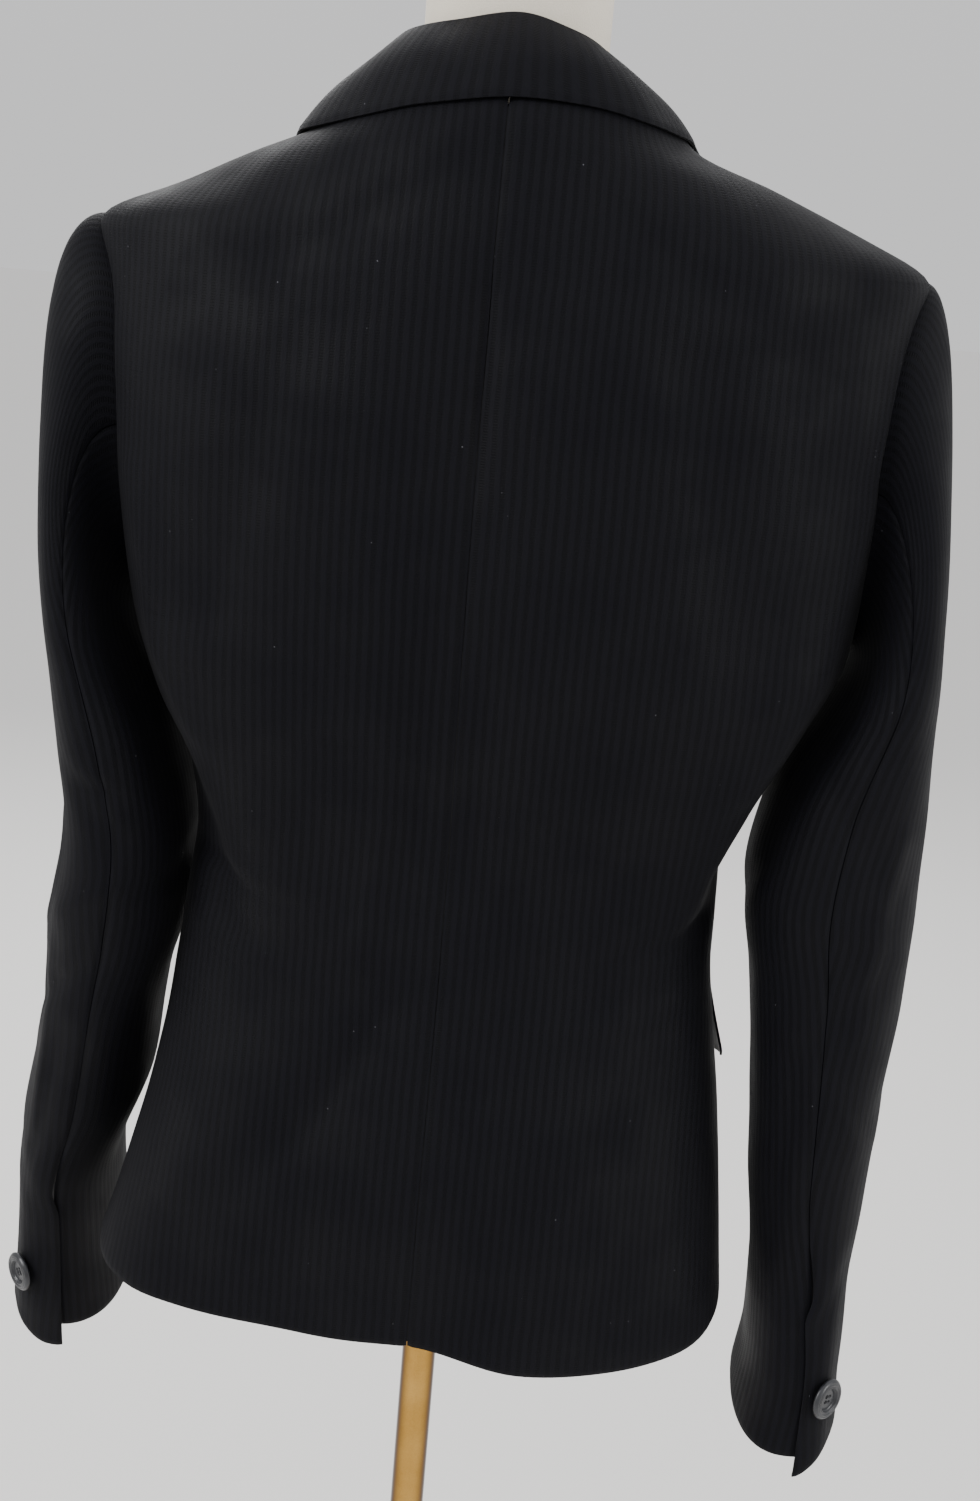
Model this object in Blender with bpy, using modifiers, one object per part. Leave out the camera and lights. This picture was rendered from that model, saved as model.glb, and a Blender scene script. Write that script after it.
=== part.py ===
"""A buttoned blazer on a limbless dress form, with its pole and round foot.

Run with: blender --background --python part.py

Metres, +Z up. The floor is z = 0 under the pole. The garment faces -Y and its wearer's left is +X.
Each cloth piece is an open grid of points on the garment's surface, thickened with Solidify.
The body is a stack of level slices. A place on it is an angle in degrees, from 0 at the centre
back through 90 at the wearer's left side to 180 at the centre front, and a height.
"""

import math
from collections import namedtuple

import bmesh
import bpy
import numpy as np
from mathutils import Matrix, Vector

# Cloth and seams
WALL = 0.0012
SEAM_GAP = 0.0006
LIE = 0.0020
SIDES = {"left": 1, "right": -1}

# Heights of the garment
HEM = 0.825
HEM_FADE = 0.080
ARMPIT = 1.185
SHOULDER = 1.365
NAPE = 1.436
NECK_DIP = 0.003
FRONT_TOP = 1.4285

# Half sizes of the body's slices: to the wearer's left and right, to the back and to the front.
# square is the slice's exponent: 2 is an ellipse, and more is squarer.
Slice = namedtuple("Slice", "height left right back front square")
TORSO = (
    Slice(0.825, 0.180, 0.163, 0.110, 0.120, 2.9),
    Slice(0.880, 0.166, 0.157, 0.109, 0.120, 2.6),
    Slice(0.930, 0.155, 0.151, 0.103, 0.116, 2.4),
    Slice(0.975, 0.1475, 0.143, 0.094, 0.108, 2.4),
    Slice(1.020, 0.1425, 0.137, 0.087, 0.101, 2.4),
    Slice(1.065, 0.138, 0.137, 0.087, 0.101, 2.5),
    Slice(1.100, 0.145, 0.148, 0.092, 0.108, 2.6),
    Slice(1.140, 0.160, 0.168, 0.101, 0.118, 2.7),
    Slice(1.185, 0.173, 0.186, 0.109, 0.126, 2.8),
    Slice(1.235, 0.181, 0.191, 0.114, 0.127, 2.8),
    Slice(1.290, 0.188, 0.197, 0.115, 0.116, 2.6),
    Slice(1.335, 0.194, 0.202, 0.111, 0.098, 2.25),
    Slice(1.365, 0.199, 0.204, 0.1045, 0.083, 2.08),
    Slice(1.380, 0.165, 0.175, 0.101, 0.074, 2.08),
    Slice(1.400, 0.124, 0.126, 0.096, 0.060, 2.1),
    Slice(1.416, 0.088, 0.085, 0.093, 0.050, 2.2),
    Slice(1.428, 0.076, 0.074, 0.087, 0.042, 2.2),
    Slice(1.436, 0.069, 0.068, 0.064, 0.034, 2.2),
)

# The largest folds and the bust, each a soft ridge (height over 0) or trough between two places.
Fold = namedtuple("Fold", "angle top to_angle bottom width height")
FOLDS = (
    Fold(4, 1.33, 3, 1.10, 0.030, -0.0040),
    Fold(58, 1.16, 50, 1.06, 0.024, 0.0070),
    Fold(78, 1.11, 62, 1.03, 0.016, -0.0050),
    Fold(-60, 1.17, -66, 1.08, 0.024, 0.0060),
    Fold(-84, 1.08, -72, 1.03, 0.015, -0.0040),
    Fold(26, 0.98, 34, 0.82, 0.030, -0.0045),
    Fold(-28, 0.93, -32, 0.82, 0.032, 0.0040),
    Fold(62, 0.90, 66, 0.82, 0.026, 0.0040),
    Fold(146, 1.21, 146, 1.19, 0.055, 0.0120),
    Fold(-146, 1.21, -146, 1.19, 0.055, 0.0120),
)
FOLD_RADIUS = 0.130

# How far the hem's edge drops at each angle
HemRow = namedtuple("HemRow", "angle drop")
HEM_LINE = (
    HemRow(-180, 0.0),
    HemRow(-94, 0.002),
    HemRow(-55, 0.007),
    HemRow(-28, 0.008),
    HemRow(0, -0.001),
    HemRow(28, 0.001),
    HemRow(55, -0.002),
    HemRow(94, -0.008),
    HemRow(180, 0.0),
)

# Armhole, from its top at the shoulder point round the back to its foot at the side seam
ARMHOLE_SPREAD = 18.0
SIDE_SEAM = 94.0
ARMHOLE_GAP = 0.0011

# Fronts: the edge passes the centre front, and folds back along the roll line from break to neck
BUTTON_STAND = 0.020
BREAK_HEIGHT = 1.120
ROLL_NECK_X = 0.064
ROLL_EDGE = 0.0020
OVERLAP_RISE = 0.0025
LAPEL_RISE = 0.0045

# Lapel: its width across from the roll line at each share of the way from the break up to the gorge
LapelRow = namedtuple("LapelRow", "share width")
LAPEL = (LapelRow(0.0, 0.004), LapelRow(0.35, 0.034), LapelRow(0.7, 0.054), LapelRow(1.0, 0.066))
GORGE_NECK = 1.374
GORGE_POINT = 1.346
LAPEL_LIE = 0.0015
LAPEL_BELLY = 0.0040
LAPEL_START = 0.0016
LAPEL_WRAPS = ((0.0004, -0.0014), (0.0, 0.0010))

# Collar, at stations from the centre back to its front end. edge is where the fall ends on the
# body, and fold is the top of the collar.
CollarRow = namedtuple("CollarRow", "edge_angle edge_height fold_x fold_y fold_height")
COLLAR = (
    CollarRow(0, 1.4275, 0.0000, 0.0510, 1.4665),
    CollarRow(24, 1.4248, 0.0240, 0.0460, 1.4620),
    CollarRow(46, 1.4190, 0.0400, 0.0310, 1.4580),
    CollarRow(66, 1.4145, 0.0495, 0.0120, 1.4510),
    CollarRow(90, 1.4125, 0.0550, -0.0130, 1.4440),
    CollarRow(112, 1.4000, 0.0580, -0.0370, 1.4330),
    CollarRow(128, 1.3860, 0.0555, -0.0550, 1.4130),
    CollarRow(140, 1.3720, 0.0510, -0.0690, 1.3900),
)
# The collar sits off to the wearer's left, and lower on that side
COLLAR_SHIFT = 0.0090
COLLAR_TILT = 0.0050
COLLAR_ROLL = 0.0030
COLLAR_BELLY = 0.0035
COLLAR_FRONT = 4 / 7

# Sleeves: centre line out from the middle and to the back, half sizes, and how far the ring
# drops per metre towards the back
SleeveRow = namedtuple("SleeveRow", "height out back across along drop")
SLEEVES = {
    "left": (
        SleeveRow(1.160, 0.1920, 0.002, 0.0210, 0.074, 0.00),
        SleeveRow(1.110, 0.1800, 0.004, 0.0280, 0.070, 0.00),
        SleeveRow(1.060, 0.1735, 0.002, 0.0315, 0.064, 0.05),
        SleeveRow(1.010, 0.1790, -0.002, 0.0340, 0.060, 0.05),
        SleeveRow(0.960, 0.1875, -0.010, 0.0300, 0.057, 0.05),
        SleeveRow(0.900, 0.1980, -0.020, 0.0320, 0.054, 0.08),
        SleeveRow(0.840, 0.2110, -0.030, 0.0260, 0.051, 0.12),
        SleeveRow(0.757, 0.2115, -0.040, 0.0320, 0.048, 0.18),
    ),
    "right": (
        SleeveRow(1.160, 0.2070, 0.002, 0.0255, 0.074, 0.00),
        SleeveRow(1.110, 0.1970, 0.004, 0.0390, 0.066, 0.00),
        SleeveRow(1.060, 0.1935, 0.006, 0.0440, 0.061, 0.00),
        SleeveRow(1.010, 0.1975, 0.008, 0.0395, 0.059, 0.00),
        SleeveRow(0.960, 0.1990, 0.011, 0.0345, 0.057, 0.00),
        SleeveRow(0.900, 0.2010, 0.014, 0.0305, 0.054, 0.02),
        SleeveRow(0.845, 0.2030, 0.018, 0.0260, 0.051, 0.08),
        SleeveRow(0.805, 0.2045, 0.020, 0.0260, 0.049, 0.16),
        SleeveRow(0.770, 0.2035, 0.022, 0.0290, 0.048, 0.22),
    ),
}
SLEEVE_SQUARE = 2.4
CAP_SHARE = 0.3
CAP_LEAN = 0.35
CAP_LIFT = 0.22
CAP_DRAPE = 0.42
CAP_HEAD = {"left": 0.036, "right": 0.019}
CAP_FOOT = 0.010
SLEEVE_GAP = 0.0015
BACK_SEAM = 94.0
FRONT_SEAM = 240.0
VENT_HEIGHT = 0.090
VENT_LAP = 0.009
VENT_TIP = 0.012
VENT_RISE = 0.0028
VENT_EASE = 36.0

# Pocket flaps on the fronts
FLAP_TOP = 0.985
FLAP_DEPTH = 0.045
FLAP_START = 98.0
FLAP_END = 146.0
FLAP_FLARE = 0.0035
FLAP_CORNER = 0.004
FLAP_SLANT = 0.006

# Buttons
BUTTON_RADIUS = 0.0112
BUTTON_HEIGHT = 0.0036
FRONT_BUTTON_HEIGHTS = (1.075, 0.985)
CUFF_BUTTON_UP = 0.034
CUFF_BUTTON_ANGLE = 62.0
CUFF_BUTTON_LIFT = 0.0001
FRONT_BUTTON_LIFT = 0.0006

# Dress form, its pole and its foot
FORM_FOOT = 0.885
FORM_EASE = 0.0085
FORM_SEAT = 0.0024
NECK_RADIUS = 0.0440
NECK_X = 0.0040
NECK_TOP = 1.520
POLE_RADIUS = 0.0095
SOCKET_RADIUS = 0.017
SOCKET_HEIGHT = 0.014
FOOT_RADIUS = 0.140
FOOT_THICK = 0.014
FOOT_DOME = 0.030
CLEAR = 0.0003

COLOURS = {
    "cloth": ((0.016, 0.016, 0.020, 1), 0.75, 0.0),
    "button": ((0.060, 0.062, 0.068, 1), 0.40, 0.0),
    "form": ((0.80, 0.76, 0.66, 1), 0.60, 0.0),
    "gold": ((0.83, 0.60, 0.24, 1), 0.22, 1.0),
}


def clear_scene():
    """Remove every object of the file that is open."""
    for old in list(bpy.data.objects):
        bpy.data.objects.remove(old, do_unlink=True)


def make_collection(name):
    """A collection of this name in the scene."""
    collection = bpy.data.collections.new(name)
    bpy.context.scene.collection.children.link(collection)
    return collection


def add_object(mesh, name, kind, collection):
    """An object for the mesh, with a material of its own in the kind's colour."""
    colour, roughness, metallic = COLOURS[kind]
    material = bpy.data.materials.new(name)
    material.use_nodes = True
    shader = material.node_tree.nodes["Principled BSDF"]
    shader.inputs["Base Color"].default_value = colour
    shader.inputs["Roughness"].default_value = roughness
    shader.inputs["Metallic"].default_value = metallic
    mesh.materials.append(material)
    mesh.shade_smooth()
    mesh.set_sharp_from_angle(angle=math.radians(40))
    added = bpy.data.objects.new(name, mesh)
    collection.objects.link(added)
    return added


def smooth_table(rows):
    """A function of the rows' first column that gives their other columns, smooth and with no overshoot."""
    table = np.array(rows, float)
    if table[0, 0] > table[-1, 0]:
        table = table[::-1]
    keys, values = table[:, 0], table[:, 1:]
    steps = np.diff(keys)[:, None]
    slopes = np.diff(values, axis=0) / steps
    product = slopes[1:] * slopes[:-1]
    total = np.where(product > 0, slopes[1:] + slopes[:-1], 1.0)
    inner = np.where(product > 0, 2 * product / total, 0.0)
    tangents = np.vstack([slopes[:1], inner, slopes[-1:]])

    def read(key):
        k = int(np.clip(np.searchsorted(keys, key) - 1, 0, len(keys) - 2))
        step = keys[k + 1] - keys[k]
        t = min(max((key - keys[k]) / step, 0.0), 1.0)
        start = (1 + 2 * t) * (1 - t) ** 2 * values[k] + t * (1 - t) ** 2 * step * tangents[k]
        end = t * t * (3 - 2 * t) * values[k + 1] + t * t * (t - 1) * step * tangents[k + 1]
        return start + end

    return read


TORSO_AT = smooth_table(TORSO)
HEM_AT = smooth_table(HEM_LINE)
COLLAR_AT = smooth_table([(k / (len(COLLAR) - 1), *row) for k, row in enumerate(COLLAR)])
LAPEL_AT = smooth_table(LAPEL)
SLEEVE_AT = {side: smooth_table(rows) for side, rows in SLEEVES.items()}


def blend(low, high, t):
    """A smooth step from 0 at low to 1 at high."""
    t = min(max((t - low) / (high - low), 0.0), 1.0)
    return t * t * (3 - 2 * t)


def fold_height(angle, height):
    """How far the folds push the body's surface out at this place."""
    total = 0.0
    for fold in FOLDS:
        run = np.array([math.radians(fold.to_angle - fold.angle) * FOLD_RADIUS, fold.bottom - fold.top])
        turn = (angle - fold.angle + 180) % 360 - 180
        here = np.array([math.radians(turn) * FOLD_RADIUS, height - fold.top])
        share = min(max(here @ run / (run @ run), 0.0), 1.0)
        away = np.linalg.norm(here - share * run) / fold.width
        total += fold.height * math.exp(-away * away)
    return total


def body_point(angle, height, out=0.0, folded=True):
    """The point of the body's surface at an angle and a height, moved out by a distance."""
    left, right, back, front, square = TORSO_AT(height)
    sin, cos = math.sin(math.radians(angle)), math.cos(math.radians(angle))
    half = left if sin > 0 else right
    depth = back if cos > 0 else front
    reach = (abs(sin / half) ** square + abs(cos / depth) ** square) ** (-1 / square)
    reach += out + (fold_height(angle, height) if folded else 0.0)
    return Vector((reach * sin, reach * cos, height))


def body_normal(angle, height):
    """The outward direction of the body's surface at a place."""
    across = body_point(angle + 1, height) - body_point(angle - 1, height)
    up = body_point(angle, height + 0.003) - body_point(angle, height - 0.003)
    return up.cross(across).normalized()


def on_body(angle, height, lift):
    """A point that lies this far out from the body's surface, square to it."""
    return body_point(angle, height) + body_normal(angle, height) * lift


def front_angle(x, height):
    """The angle of the front surface's point that is x from the middle."""
    left, right, _, front, square = TORSO_AT(height)
    half = left if x > 0 else right
    share = min(abs(x) / half, 0.999)
    return math.degrees(math.atan2(x, -front * (1 - share**square) ** (1 / square))) % 360


def degrees_of(distance, angle, height):
    """The angle that a distance along a slice spans there."""
    return math.degrees(distance / body_point(angle, height).xy.length)


def armhole(turn, inset=0.0):
    """Angle and height of the armhole at a turn: 0 is its top, 90 its back, 180 its foot."""
    turn = math.radians(turn)
    middle, rise = (SHOULDER + ARMPIT) / 2, (SHOULDER - ARMPIT) / 2 - inset
    lean = (SIDE_SEAM - 90) / 2 * (1 - math.cos(turn))
    spread = ARMHOLE_SPREAD - math.degrees(inset / 0.2)
    return 90 + lean - spread * math.sin(turn), middle + rise * math.cos(turn)


def panel_heights(below, along, above, top):
    """The heights of a panel's rows: straight below the armpit, by the armhole's turn, then the shoulder."""
    side = [HEM + (ARMPIT - HEM) * k / below for k in range(below)]
    hole = [armhole(180 - 180 * k / along)[1] for k in range(along + 1)]
    shoulder = [SHOULDER + (top - SHOULDER) * (k / above) for k in range(1, above + 1)]
    return side + hole + shoulder


def outer_angle(height, back):
    """The panel's outer edge, as an angle at the wearer's left: side seam, armhole or shoulder seam."""
    if height <= ARMPIT:
        return SIDE_SEAM
    if height >= SHOULDER:
        return 90.0
    middle, rise = (SHOULDER + ARMPIT) / 2, (SHOULDER - ARMPIT) / 2
    turn = math.degrees(math.acos(min(max((height - middle) / rise, -1.0), 1.0)))
    return armhole(turn if back else 360 - turn)[0]


def sheet(name, across, along, point, collection, inside, kind="cloth", wall=WALL):
    """A grid of across by along faces, with its corners put at point(i, j), thickened inwards."""
    grid = bmesh.new()
    bmesh.ops.create_grid(grid, x_segments=across, y_segments=along, size=1)
    for corner in grid.verts:
        i = round((corner.co.x + 1) / 2 * across)
        j = round((corner.co.y + 1) / 2 * along)
        corner.co = point(i, j)
    grid.faces.ensure_lookup_table()
    grid.normal_update()
    middle = grid.faces[len(grid.faces) // 2]
    if middle.normal.dot(middle.calc_center_median() - inside) < 0:
        bmesh.ops.reverse_faces(grid, faces=grid.faces)
    mesh = bpy.data.meshes.new(name)
    grid.to_mesh(mesh)
    grid.free()
    added = add_object(mesh, name, kind, collection)
    shell = added.modifiers.new("Wall", "SOLIDIFY")
    shell.thickness = wall
    shell.offset = -1
    shell.use_quality_normals = True
    return added


def loft(name, rings, kind, collection):
    """A closed body through rings of equal point counts, capped at both ends."""
    shape = bmesh.new()
    loops = [[shape.verts.new(point) for point in ring] for ring in rings]
    for low, high in zip(loops, loops[1:]):
        for k in range(len(low)):
            after = (k + 1) % len(low)
            shape.faces.new((low[k], low[after], high[after], high[k]))
    shape.faces.new(loops[0])
    shape.faces.new(loops[-1])
    bmesh.ops.recalc_face_normals(shape, faces=shape.faces)
    mesh = bpy.data.meshes.new(name)
    shape.to_mesh(mesh)
    shape.free()
    return add_object(mesh, name, kind, collection)


def turned(name, profile, steps, kind, collection):
    """A turned body: an outline of (radius, height) from the axis back to the axis, under a Screw."""
    outline = bmesh.new()
    corners = [outline.verts.new((radius, 0, height)) for radius, height in profile]
    for first, second in zip(corners, corners[1:]):
        outline.edges.new((first, second))
    mesh = bpy.data.meshes.new(name)
    outline.to_mesh(mesh)
    outline.free()
    added = add_object(mesh, name, kind, collection)
    screw = added.modifiers.new("Turn", "SCREW")
    screw.steps = steps
    screw.render_steps = steps
    screw.use_merge_vertices = True
    screw.merge_threshold = 0.00001
    screw.use_smooth_shade = True
    return added


def row_height(angle, height, top=NAPE):
    """A panel's row at this angle: the lowest follow the hem, and the top ones dip beside the neck."""
    drop = HEM_AT(angle)[0] * (1 - blend(HEM, HEM + HEM_FADE, height))
    dip = NECK_DIP * (1 - math.cos(math.radians(angle))) * blend(SHOULDER, top, height)
    return height - drop - dip


def make_back(side, collection):
    """One back panel, from the centre back seam to the side seam, the armhole and the shoulder seam."""
    across, below, along, above = 11, 10, 11, 5
    sign = SIDES[side]
    heights = panel_heights(below, along, above, NAPE)

    def point(i, j):
        height = heights[j]
        outer = outer_angle(height, back=True)
        gap = degrees_of(SEAM_GAP / 2, sign * outer, height)
        start = degrees_of(SEAM_GAP / 2, 0, height)
        angle = start + (outer - gap - start) * i / across
        return body_point(sign * angle, row_height(sign * angle, height))

    return sheet(f"back_{side}", across, below + along + above, point, collection, Vector((0, 0, 1.1)))


def roll_x(height):
    """How far from the middle the roll line is on the wearer's left."""
    share = (height - BREAK_HEIGHT) / (NAPE - BREAK_HEIGHT)
    return -BUTTON_STAND + (ROLL_NECK_X + BUTTON_STAND) * share


def overlap_rise(side, angle, height):
    """The wearer's right front lies over the left one round the centre front."""
    if side == "left":
        return 0.0
    past = math.radians(angle - 180) * body_point(180, height).xy.length
    rise = OVERLAP_RISE + LAPEL_RISE * blend(BREAK_HEIGHT - 0.030, BREAK_HEIGHT - 0.004, height)
    return rise * blend(-BUTTON_STAND - 0.030, -BUTTON_STAND - 0.004, past)


def make_front(side, collection):
    """One front panel, from its front edge and roll line to the side seam, armhole and shoulder."""
    across, below, along, above = 12, 10, 11, 5
    sign = SIDES[side]
    heights = panel_heights(below, along, above, FRONT_TOP)

    def point(i, j):
        height = heights[j]
        outer = outer_angle(height, back=False)
        start = outer + degrees_of(SEAM_GAP / 2, sign * outer, height)
        edge_x = roll_x(max(height, BREAK_HEIGHT))
        edge = front_angle(edge_x, height)
        turned_back = blend(BREAK_HEIGHT - 0.02, BREAK_HEIGHT + 0.02, height)
        edge -= degrees_of(ROLL_EDGE * turned_back, edge, height)
        angle = start + (max(edge, start + 2) - start) * i / across
        height -= HEM_AT(sign * min(angle, 180))[0] * (1 - blend(HEM, HEM + HEM_FADE, height))
        return on_body(sign * angle, height, overlap_rise(side, angle, height))

    return sheet(f"front_{side}", across, below + along + above, point, collection, Vector((0, 0, 1.1)))


def make_lapel(side, collection):
    """The lapel, lying on its front from the roll line outwards, with its roll wrapped on the edge."""
    sign = SIDES[side]
    across, along = 8, 12
    first = len(LAPEL_WRAPS)

    def point(i, j):
        share = j / along
        neck = BREAK_HEIGHT + (GORGE_NECK - BREAK_HEIGHT) * share
        tip = BREAK_HEIGHT + (GORGE_POINT - BREAK_HEIGHT) * share
        if i < first:
            reach, lift = LAPEL_WRAPS[i]
            height = neck
        else:
            span = (i - first + 0.06) / (across - first + 0.06)
            height = neck + (tip - neck) * span
            reach = LAPEL_AT(share)[0] * span + LAPEL_START
            lift = LAPEL_LIE + LAPEL_BELLY * math.sin(math.pi * min(span * 2.2, 1.0)) * share
        angle = front_angle(roll_x(neck) + reach, height)
        lift += overlap_rise(side, angle, height)
        return on_body(sign * angle, height, lift)

    return sheet(f"lapel_{side}", across, along, point, collection, Vector((0, 0, 1.2)))


def collar_seam(share, angle):
    """Where the collar is sewn on, at a share of the way from the centre back to its front end."""
    if share <= COLLAR_FRONT:
        turn = 90 * share / COLLAR_FRONT
        seat = body_point(math.copysign(turn, angle), row_height(turn, NAPE), out=-0.0012)
        return seat + Vector((0, 0, 0.0009 + 0.0012 * share))
    fall = (share - COLLAR_FRONT) / (1 - COLLAR_FRONT)
    start, end = NAPE - NECK_DIP - 0.001, GORGE_NECK + 0.004
    height = start + (end - start) * fall
    turn = front_angle(roll_x(height) - 0.0002 - 0.0025 * (1 - fall), height)
    return on_body(math.copysign(turn, angle), height, 0.0040 * (1 - fall) - 0.0006 * fall)


def collar_rings(share):
    """The collar's seam, fold and edge at a share from -1 (right front end) to 1 (left front end)."""
    angle, height, x, y, top = COLLAR_AT(abs(share))
    sign = 1 if share >= 0 else -1
    shift = COLLAR_SHIFT * blend(0.0, 0.35, abs(share)) * (1 - blend(0.55, 0.9, abs(share)))
    tilt = COLLAR_TILT * sign * math.sin(math.radians(angle))
    fold = Vector((sign * x + shift, y, top))
    edge = on_body(sign * angle, height - tilt, LIE + 0.0006)
    return collar_seam(abs(share), sign), fold, edge


def make_collar(collection):
    """The turned collar: up from the neck seam, over the fold and down to the edge on the body."""
    along, stand_steps, turn_steps, fall_steps = 28, 2, 4, 5
    across = stand_steps + turn_steps + fall_steps
    up = Vector((0, 0, 1))

    def point(i, j):
        seam, fold, edge = collar_rings(2 * j / along - 1)
        out = Vector((edge.x - fold.x, edge.y - fold.y, 0)).normalized()
        centre = fold + (out - up) * COLLAR_ROLL
        first = centre - out * COLLAR_ROLL
        if i < stand_steps:
            return seam.lerp(first, i / stand_steps)
        bend = math.radians(180 - 135 * min((i - stand_steps) / turn_steps, 1))
        round_fold = centre + (out * math.cos(bend) + up * math.sin(bend)) * COLLAR_ROLL
        share = max(i - stand_steps - turn_steps, 0) / fall_steps
        belly = math.sin(math.pi * share) * COLLAR_BELLY
        return round_fold.lerp(edge, share) + (out + up).normalized() * belly

    return sheet("collar", across, along, point, collection, Vector((0, 0.070, 1.42)))


def sleeve_ring(side, turn, height):
    """A point of the sleeve's ring at a height: turn 0 is its outer side and 90 its back."""
    out, back, across, along, drop = SLEEVE_AT[side](height)
    cos, sin = math.cos(math.radians(turn)), math.sin(math.radians(turn))
    x = math.copysign(across * abs(cos) ** (2 / SLEEVE_SQUARE), cos)
    y = math.copysign(along * abs(sin) ** (2 / SLEEVE_SQUARE), sin)
    return Vector((SIDES[side] * (out + x), back + y, height - drop * y))


def sleeve_point(side, turn, share, out=0.0):
    """A point of the sleeve: share 0 is the armhole, CAP_SHARE the first ring and 1 the cuff."""
    rows = SLEEVES[side]
    top, cuff = rows[0].height, rows[-1].height
    if share >= CAP_SHARE:
        height = top + (cuff - top) * (share - CAP_SHARE) / (1 - CAP_SHARE)
        here = sleeve_ring(side, turn, height)
    else:
        angle, height = armhole(turn, ARMHOLE_GAP)
        start = body_point(SIDES[side] * angle, height)
        end = sleeve_ring(side, turn, top)
        cos, sin = math.cos(math.radians(turn)), math.sin(math.radians(turn))
        rise = CAP_FOOT + (CAP_HEAD[side] - CAP_FOOT) * (1 + cos) / 2
        leave = start + Vector((SIDES[side], CAP_LEAN * sin, CAP_LIFT * cos)) * rise
        arrive = end + Vector((0, 0, CAP_DRAPE * (start - end).length))
        t = share / CAP_SHARE
        here = start * (1 - t) ** 3 + leave * 3 * t * (1 - t) ** 2 + arrive * 3 * t * t * (1 - t) + end * t**3
    if out:
        centre = sleeve_ring(side, 0, here.z).lerp(sleeve_ring(side, 180, here.z), 0.5)
        away = (here - centre) * Vector((1, 1, 0))
        here = here + away.normalized() * out
    return here


def sleeve_shares(rows_above, rows_below):
    """The shares of a sleeve's rows: those of the cap, then those down to the cuff."""
    cap = [CAP_SHARE * k / rows_above for k in range(rows_above)]
    arm = [CAP_SHARE + (1 - CAP_SHARE) * k / rows_below for k in range(rows_below + 1)]
    return cap + arm


def turn_of(distance, side, turn, share):
    """The turn that a distance round the sleeve spans there."""
    step = (sleeve_point(side, turn + 1, share) - sleeve_point(side, turn - 1, share)).length / 2
    return distance / step


def share_above_cuff(side, distance):
    """The share of the way down the sleeve at a distance above its cuff."""
    rows = SLEEVES[side]
    return 1 - (1 - CAP_SHARE) * distance / (rows[0].height - rows[-1].height)


def top_sleeve_point(side, turn, share, out=0.0):
    """A point of the top sleeve, which rises over the under sleeve and runs to a tip at its vent."""
    vent = share_above_cuff(side, VENT_HEIGHT)
    rise = VENT_RISE * blend(VENT_EASE, 0.7 * BACK_SEAM, turn) * blend(vent - 0.06, vent, share)
    here = sleeve_point(side, turn, share, out=out + rise)
    here.z -= VENT_TIP * blend(0.90, 1.0, share) * blend(0.5 * BACK_SEAM, BACK_SEAM, turn)
    return here


def make_sleeve_top(side, collection):
    """The top sleeve, round the outside from the front seam to the back seam, lapping over at the vent."""
    across, above, below = 18, 7, 14
    shares = sleeve_shares(above, below)
    start_turn, end_turn = FRONT_SEAM - 360, BACK_SEAM
    vent = share_above_cuff(side, VENT_HEIGHT)

    def point(i, j):
        share = shares[j]
        first = start_turn + turn_of(SLEEVE_GAP / 2, side, start_turn, share)
        lap = blend(vent, vent + 0.03, share)
        last = end_turn + turn_of(VENT_LAP * lap - SLEEVE_GAP / 2, side, end_turn, share)
        return top_sleeve_point(side, first + (last - first) * i / across, share)

    inside = Vector((SIDES[side] * 0.2, 0, 1.1))
    return sheet(f"sleeve_top_{side}", across, above + below, point, collection, inside)


def make_sleeve_under(side, collection):
    """The under sleeve, round the inside from the back seam to the front seam."""
    across, above, below = 12, 7, 14
    shares = sleeve_shares(above, below)

    def point(i, j):
        share = shares[j]
        first = BACK_SEAM + turn_of(SLEEVE_GAP / 2, side, BACK_SEAM, share)
        last = FRONT_SEAM - turn_of(SLEEVE_GAP / 2, side, FRONT_SEAM, share)
        return sleeve_point(side, first + (last - first) * i / across, share)

    inside = Vector((SIDES[side] * 0.2, 0, 1.1))
    return sheet(f"sleeve_under_{side}", across, above + below, point, collection, inside)


def make_flap(side, collection):
    """A pocket flap on the front, its rear lower corner standing off a little."""
    across, along = 8, 3
    sign = SIDES[side]

    def point(i, j):
        angle = FLAP_START + (FLAP_END - FLAP_START) * i / across
        drop = j / along
        corner = FLAP_CORNER * (blend(0.85, 1.0, i / across) + blend(0.85, 1.0, 1 - i / across)) * drop
        height = FLAP_TOP - FLAP_DEPTH * drop + corner + FLAP_SLANT * (i / across)
        flare = FLAP_FLARE * drop * (1 - i / across) + 0.0008 * drop
        return on_body(sign * angle, height, LIE + flare)

    return sheet(f"pocket_flap_{side}", across, along, point, collection, Vector((0, 0, 0.96)))


def button_profile():
    """Half the outline of a button: a stepped rim of rings round a sunk middle."""
    radius, height = BUTTON_RADIUS, BUTTON_HEIGHT
    return (
        (0, 0.55 * height),
        (0.50 * radius, 0.55 * height),
        (0.58 * radius, 0.92 * height),
        (0.72 * radius, 1.00 * height),
        (0.90 * radius, 0.86 * height),
        (1.00 * radius, 0.55 * height),
        (0.92 * radius, 0.12 * height),
        (0.60 * radius, 0),
        (0, 0),
    )


def make_button(name, surface, u, v, step_u, step_v, away, collection):
    """A button on a surface function at (u, v), its face square to it and its back just clear of it."""
    place = surface(u, v)
    normal = surface_normal(surface, u, v, step_u, step_v, away)
    turns = [math.radians(45 * k) for k in range(8)]
    rim = [surface(u + step_u * math.cos(turn), v + step_v * math.sin(turn)) for turn in turns]
    lift = max(0.0, *((point - place).dot(normal) for point in rim))
    added = turned(name, button_profile(), 20, "button", collection)
    turn = normal.to_track_quat("Z", "Y").to_matrix().to_4x4()
    added.matrix_world = Matrix.Translation(place + normal * (lift + CLEAR)) @ turn
    return added


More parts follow.
